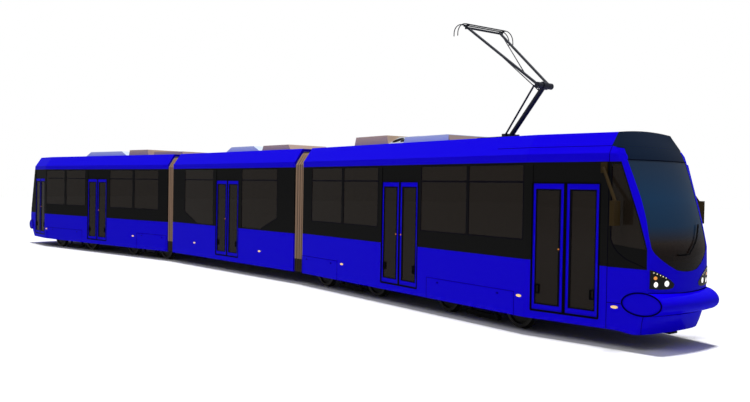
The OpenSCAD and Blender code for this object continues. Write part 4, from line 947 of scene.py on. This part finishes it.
for y in (-STRIP_END + 60, STRIP_END - 60):
    strips.box(PAN_HEAD_X - 66, PAN_HEAD_X + 66, y - 14, y + 14, PAN_HEAD_Z + 26, PAN_HEAD_Z + 48)
    strips.box(PAN_HEAD_X - 26, PAN_HEAD_X + 26, y - 14, y + 14, PAN_HEAD_Z - 26, PAN_HEAD_Z + 26)
strips.done(stands_for=["panto_head"])

# Grab poles behind the glass

POLE_Y, POLE_TOP, POLE_R = 620.0, 2780.0, 17.0
POLES = [
    ("front_section", FLOOR_Z, (900, 2500, 5100, 6800)),
    ("middle_section", LOW_FLOOR_Z, (-1200, -650, 650, 1200)),
    ("rear_section", FLOOR_Z, (900, 2500, 5300, 7000)),
]
for section, low, xs in POLES:
    for x in xs:
        for y in (-POLE_Y, POLE_Y):
            trim("grab_pole", section, pole).tube([(x, y, low + 5), (x, y, POLE_TOP)], POLE_R)

for piece in trims.values():
    piece.done()

# Stage, light and camera

FLOOR_HALF = 90
ground = bpy.data.meshes.new("floor")
ground.from_pydata([(x * FLOOR_HALF, y * FLOOR_HALF, 0) for x, y in ((-1, -1), (1, -1), (1, 1), (-1, 1))],
                   [], [(0, 1, 2, 3)])
floor = placed("floor", ground)
# White to the camera, in gloss and through glass; a darker grey in the light that it throws back
pale = material("pale_floor", (0.70, 0.70, 0.70), 0.95, shine=0.0)
bright = pale.node_tree.nodes.new("ShaderNodeBsdfDiffuse")
bright.inputs["Color"].default_value = (0.95, 0.95, 0.95, 1)
floor.data.materials.append(pale)

# The world is white where camera, gloss or glass look at it, and lights the rest softly
world = bpy.data.worlds.new("studio")
world.use_nodes = True
nt = world.node_tree
soft = nt.nodes["Background"]
soft.inputs["Color"].default_value = (1, 1, 1, 1)
soft.inputs["Strength"].default_value = 0.17
white = nt.nodes.new("ShaderNodeBackground")
white.inputs["Color"].default_value = (1, 1, 1, 1)
white.inputs["Strength"].default_value = 1.0


def seen_choice(nt, plain, shown, out):
    """Shows one shader to camera, gloss and glass, and the plain one to all other rays."""
    path = nt.nodes.new("ShaderNodeLightPath")
    seen = path.outputs["Is Camera Ray"]
    for ray in ("Is Glossy Ray", "Is Transmission Ray"):
        either = nt.nodes.new("ShaderNodeMath")
        either.operation = "MAXIMUM"
        nt.links.new(seen, either.inputs[0])
        nt.links.new(path.outputs[ray], either.inputs[1])
        seen = either.outputs[0]
    choose = nt.nodes.new("ShaderNodeMixShader")
    nt.links.new(seen, choose.inputs[0])
    nt.links.new(plain.outputs[0], choose.inputs[1])
    nt.links.new(shown.outputs[0], choose.inputs[2])
    nt.links.new(choose.outputs[0], nt.nodes[out].inputs["Surface"])


seen_choice(nt, soft, white, "World Output")
seen_choice(pale.node_tree, pale.node_tree.nodes["Principled BSDF"], bright, "Material Output")
bpy.context.scene.world = world


fill = placed("fill", bpy.data.lights.new("fill", "AREA"))
fill.data.energy, fill.data.size = 2500, 14
fill.location = (12, -23, 23)
fill.rotation_mode = "QUATERNION"
fill.rotation_quaternion = (Vector((0, 0, 1.5)) - fill.location).to_track_quat("-Z", "Y")
overhead = placed("overhead", bpy.data.lights.new("overhead", "SUN"))
overhead.data.energy, overhead.data.angle = math.pi, math.radians(9)

# The camera that was fitted to the photo, in the front section's frame: pixels, metres and degrees
PHOTO_W, FOCAL, EYE = 750, 769.7, (15.821, -10.341, 2.303)
YAW, PITCH, ROLL = (math.radians(a) for a in (144.183, -1.043, 0.968))
camera = bpy.data.cameras.new("camera")
camera.sensor_fit, camera.sensor_width = "HORIZONTAL", 36.0
camera.lens = FOCAL / PHOTO_W * camera.sensor_width
camera.clip_end = 500
eye = placed("camera", camera)
view = Vector((math.cos(YAW) * math.cos(PITCH), math.sin(YAW) * math.cos(PITCH), math.sin(PITCH)))
right = Vector((math.sin(YAW), -math.cos(YAW), 0))
up = right.cross(view)
right, up = right * math.cos(ROLL) + up * math.sin(ROLL), up * math.cos(ROLL) - right * math.sin(ROLL)
axes = Matrix((right, up, -view)).transposed().to_4x4()
eye.matrix_world = PLACE["front_section"] @ Matrix.Translation(EYE) @ axes
bpy.context.scene.camera = eye
bpy.context.scene.view_settings.view_transform = "Standard"
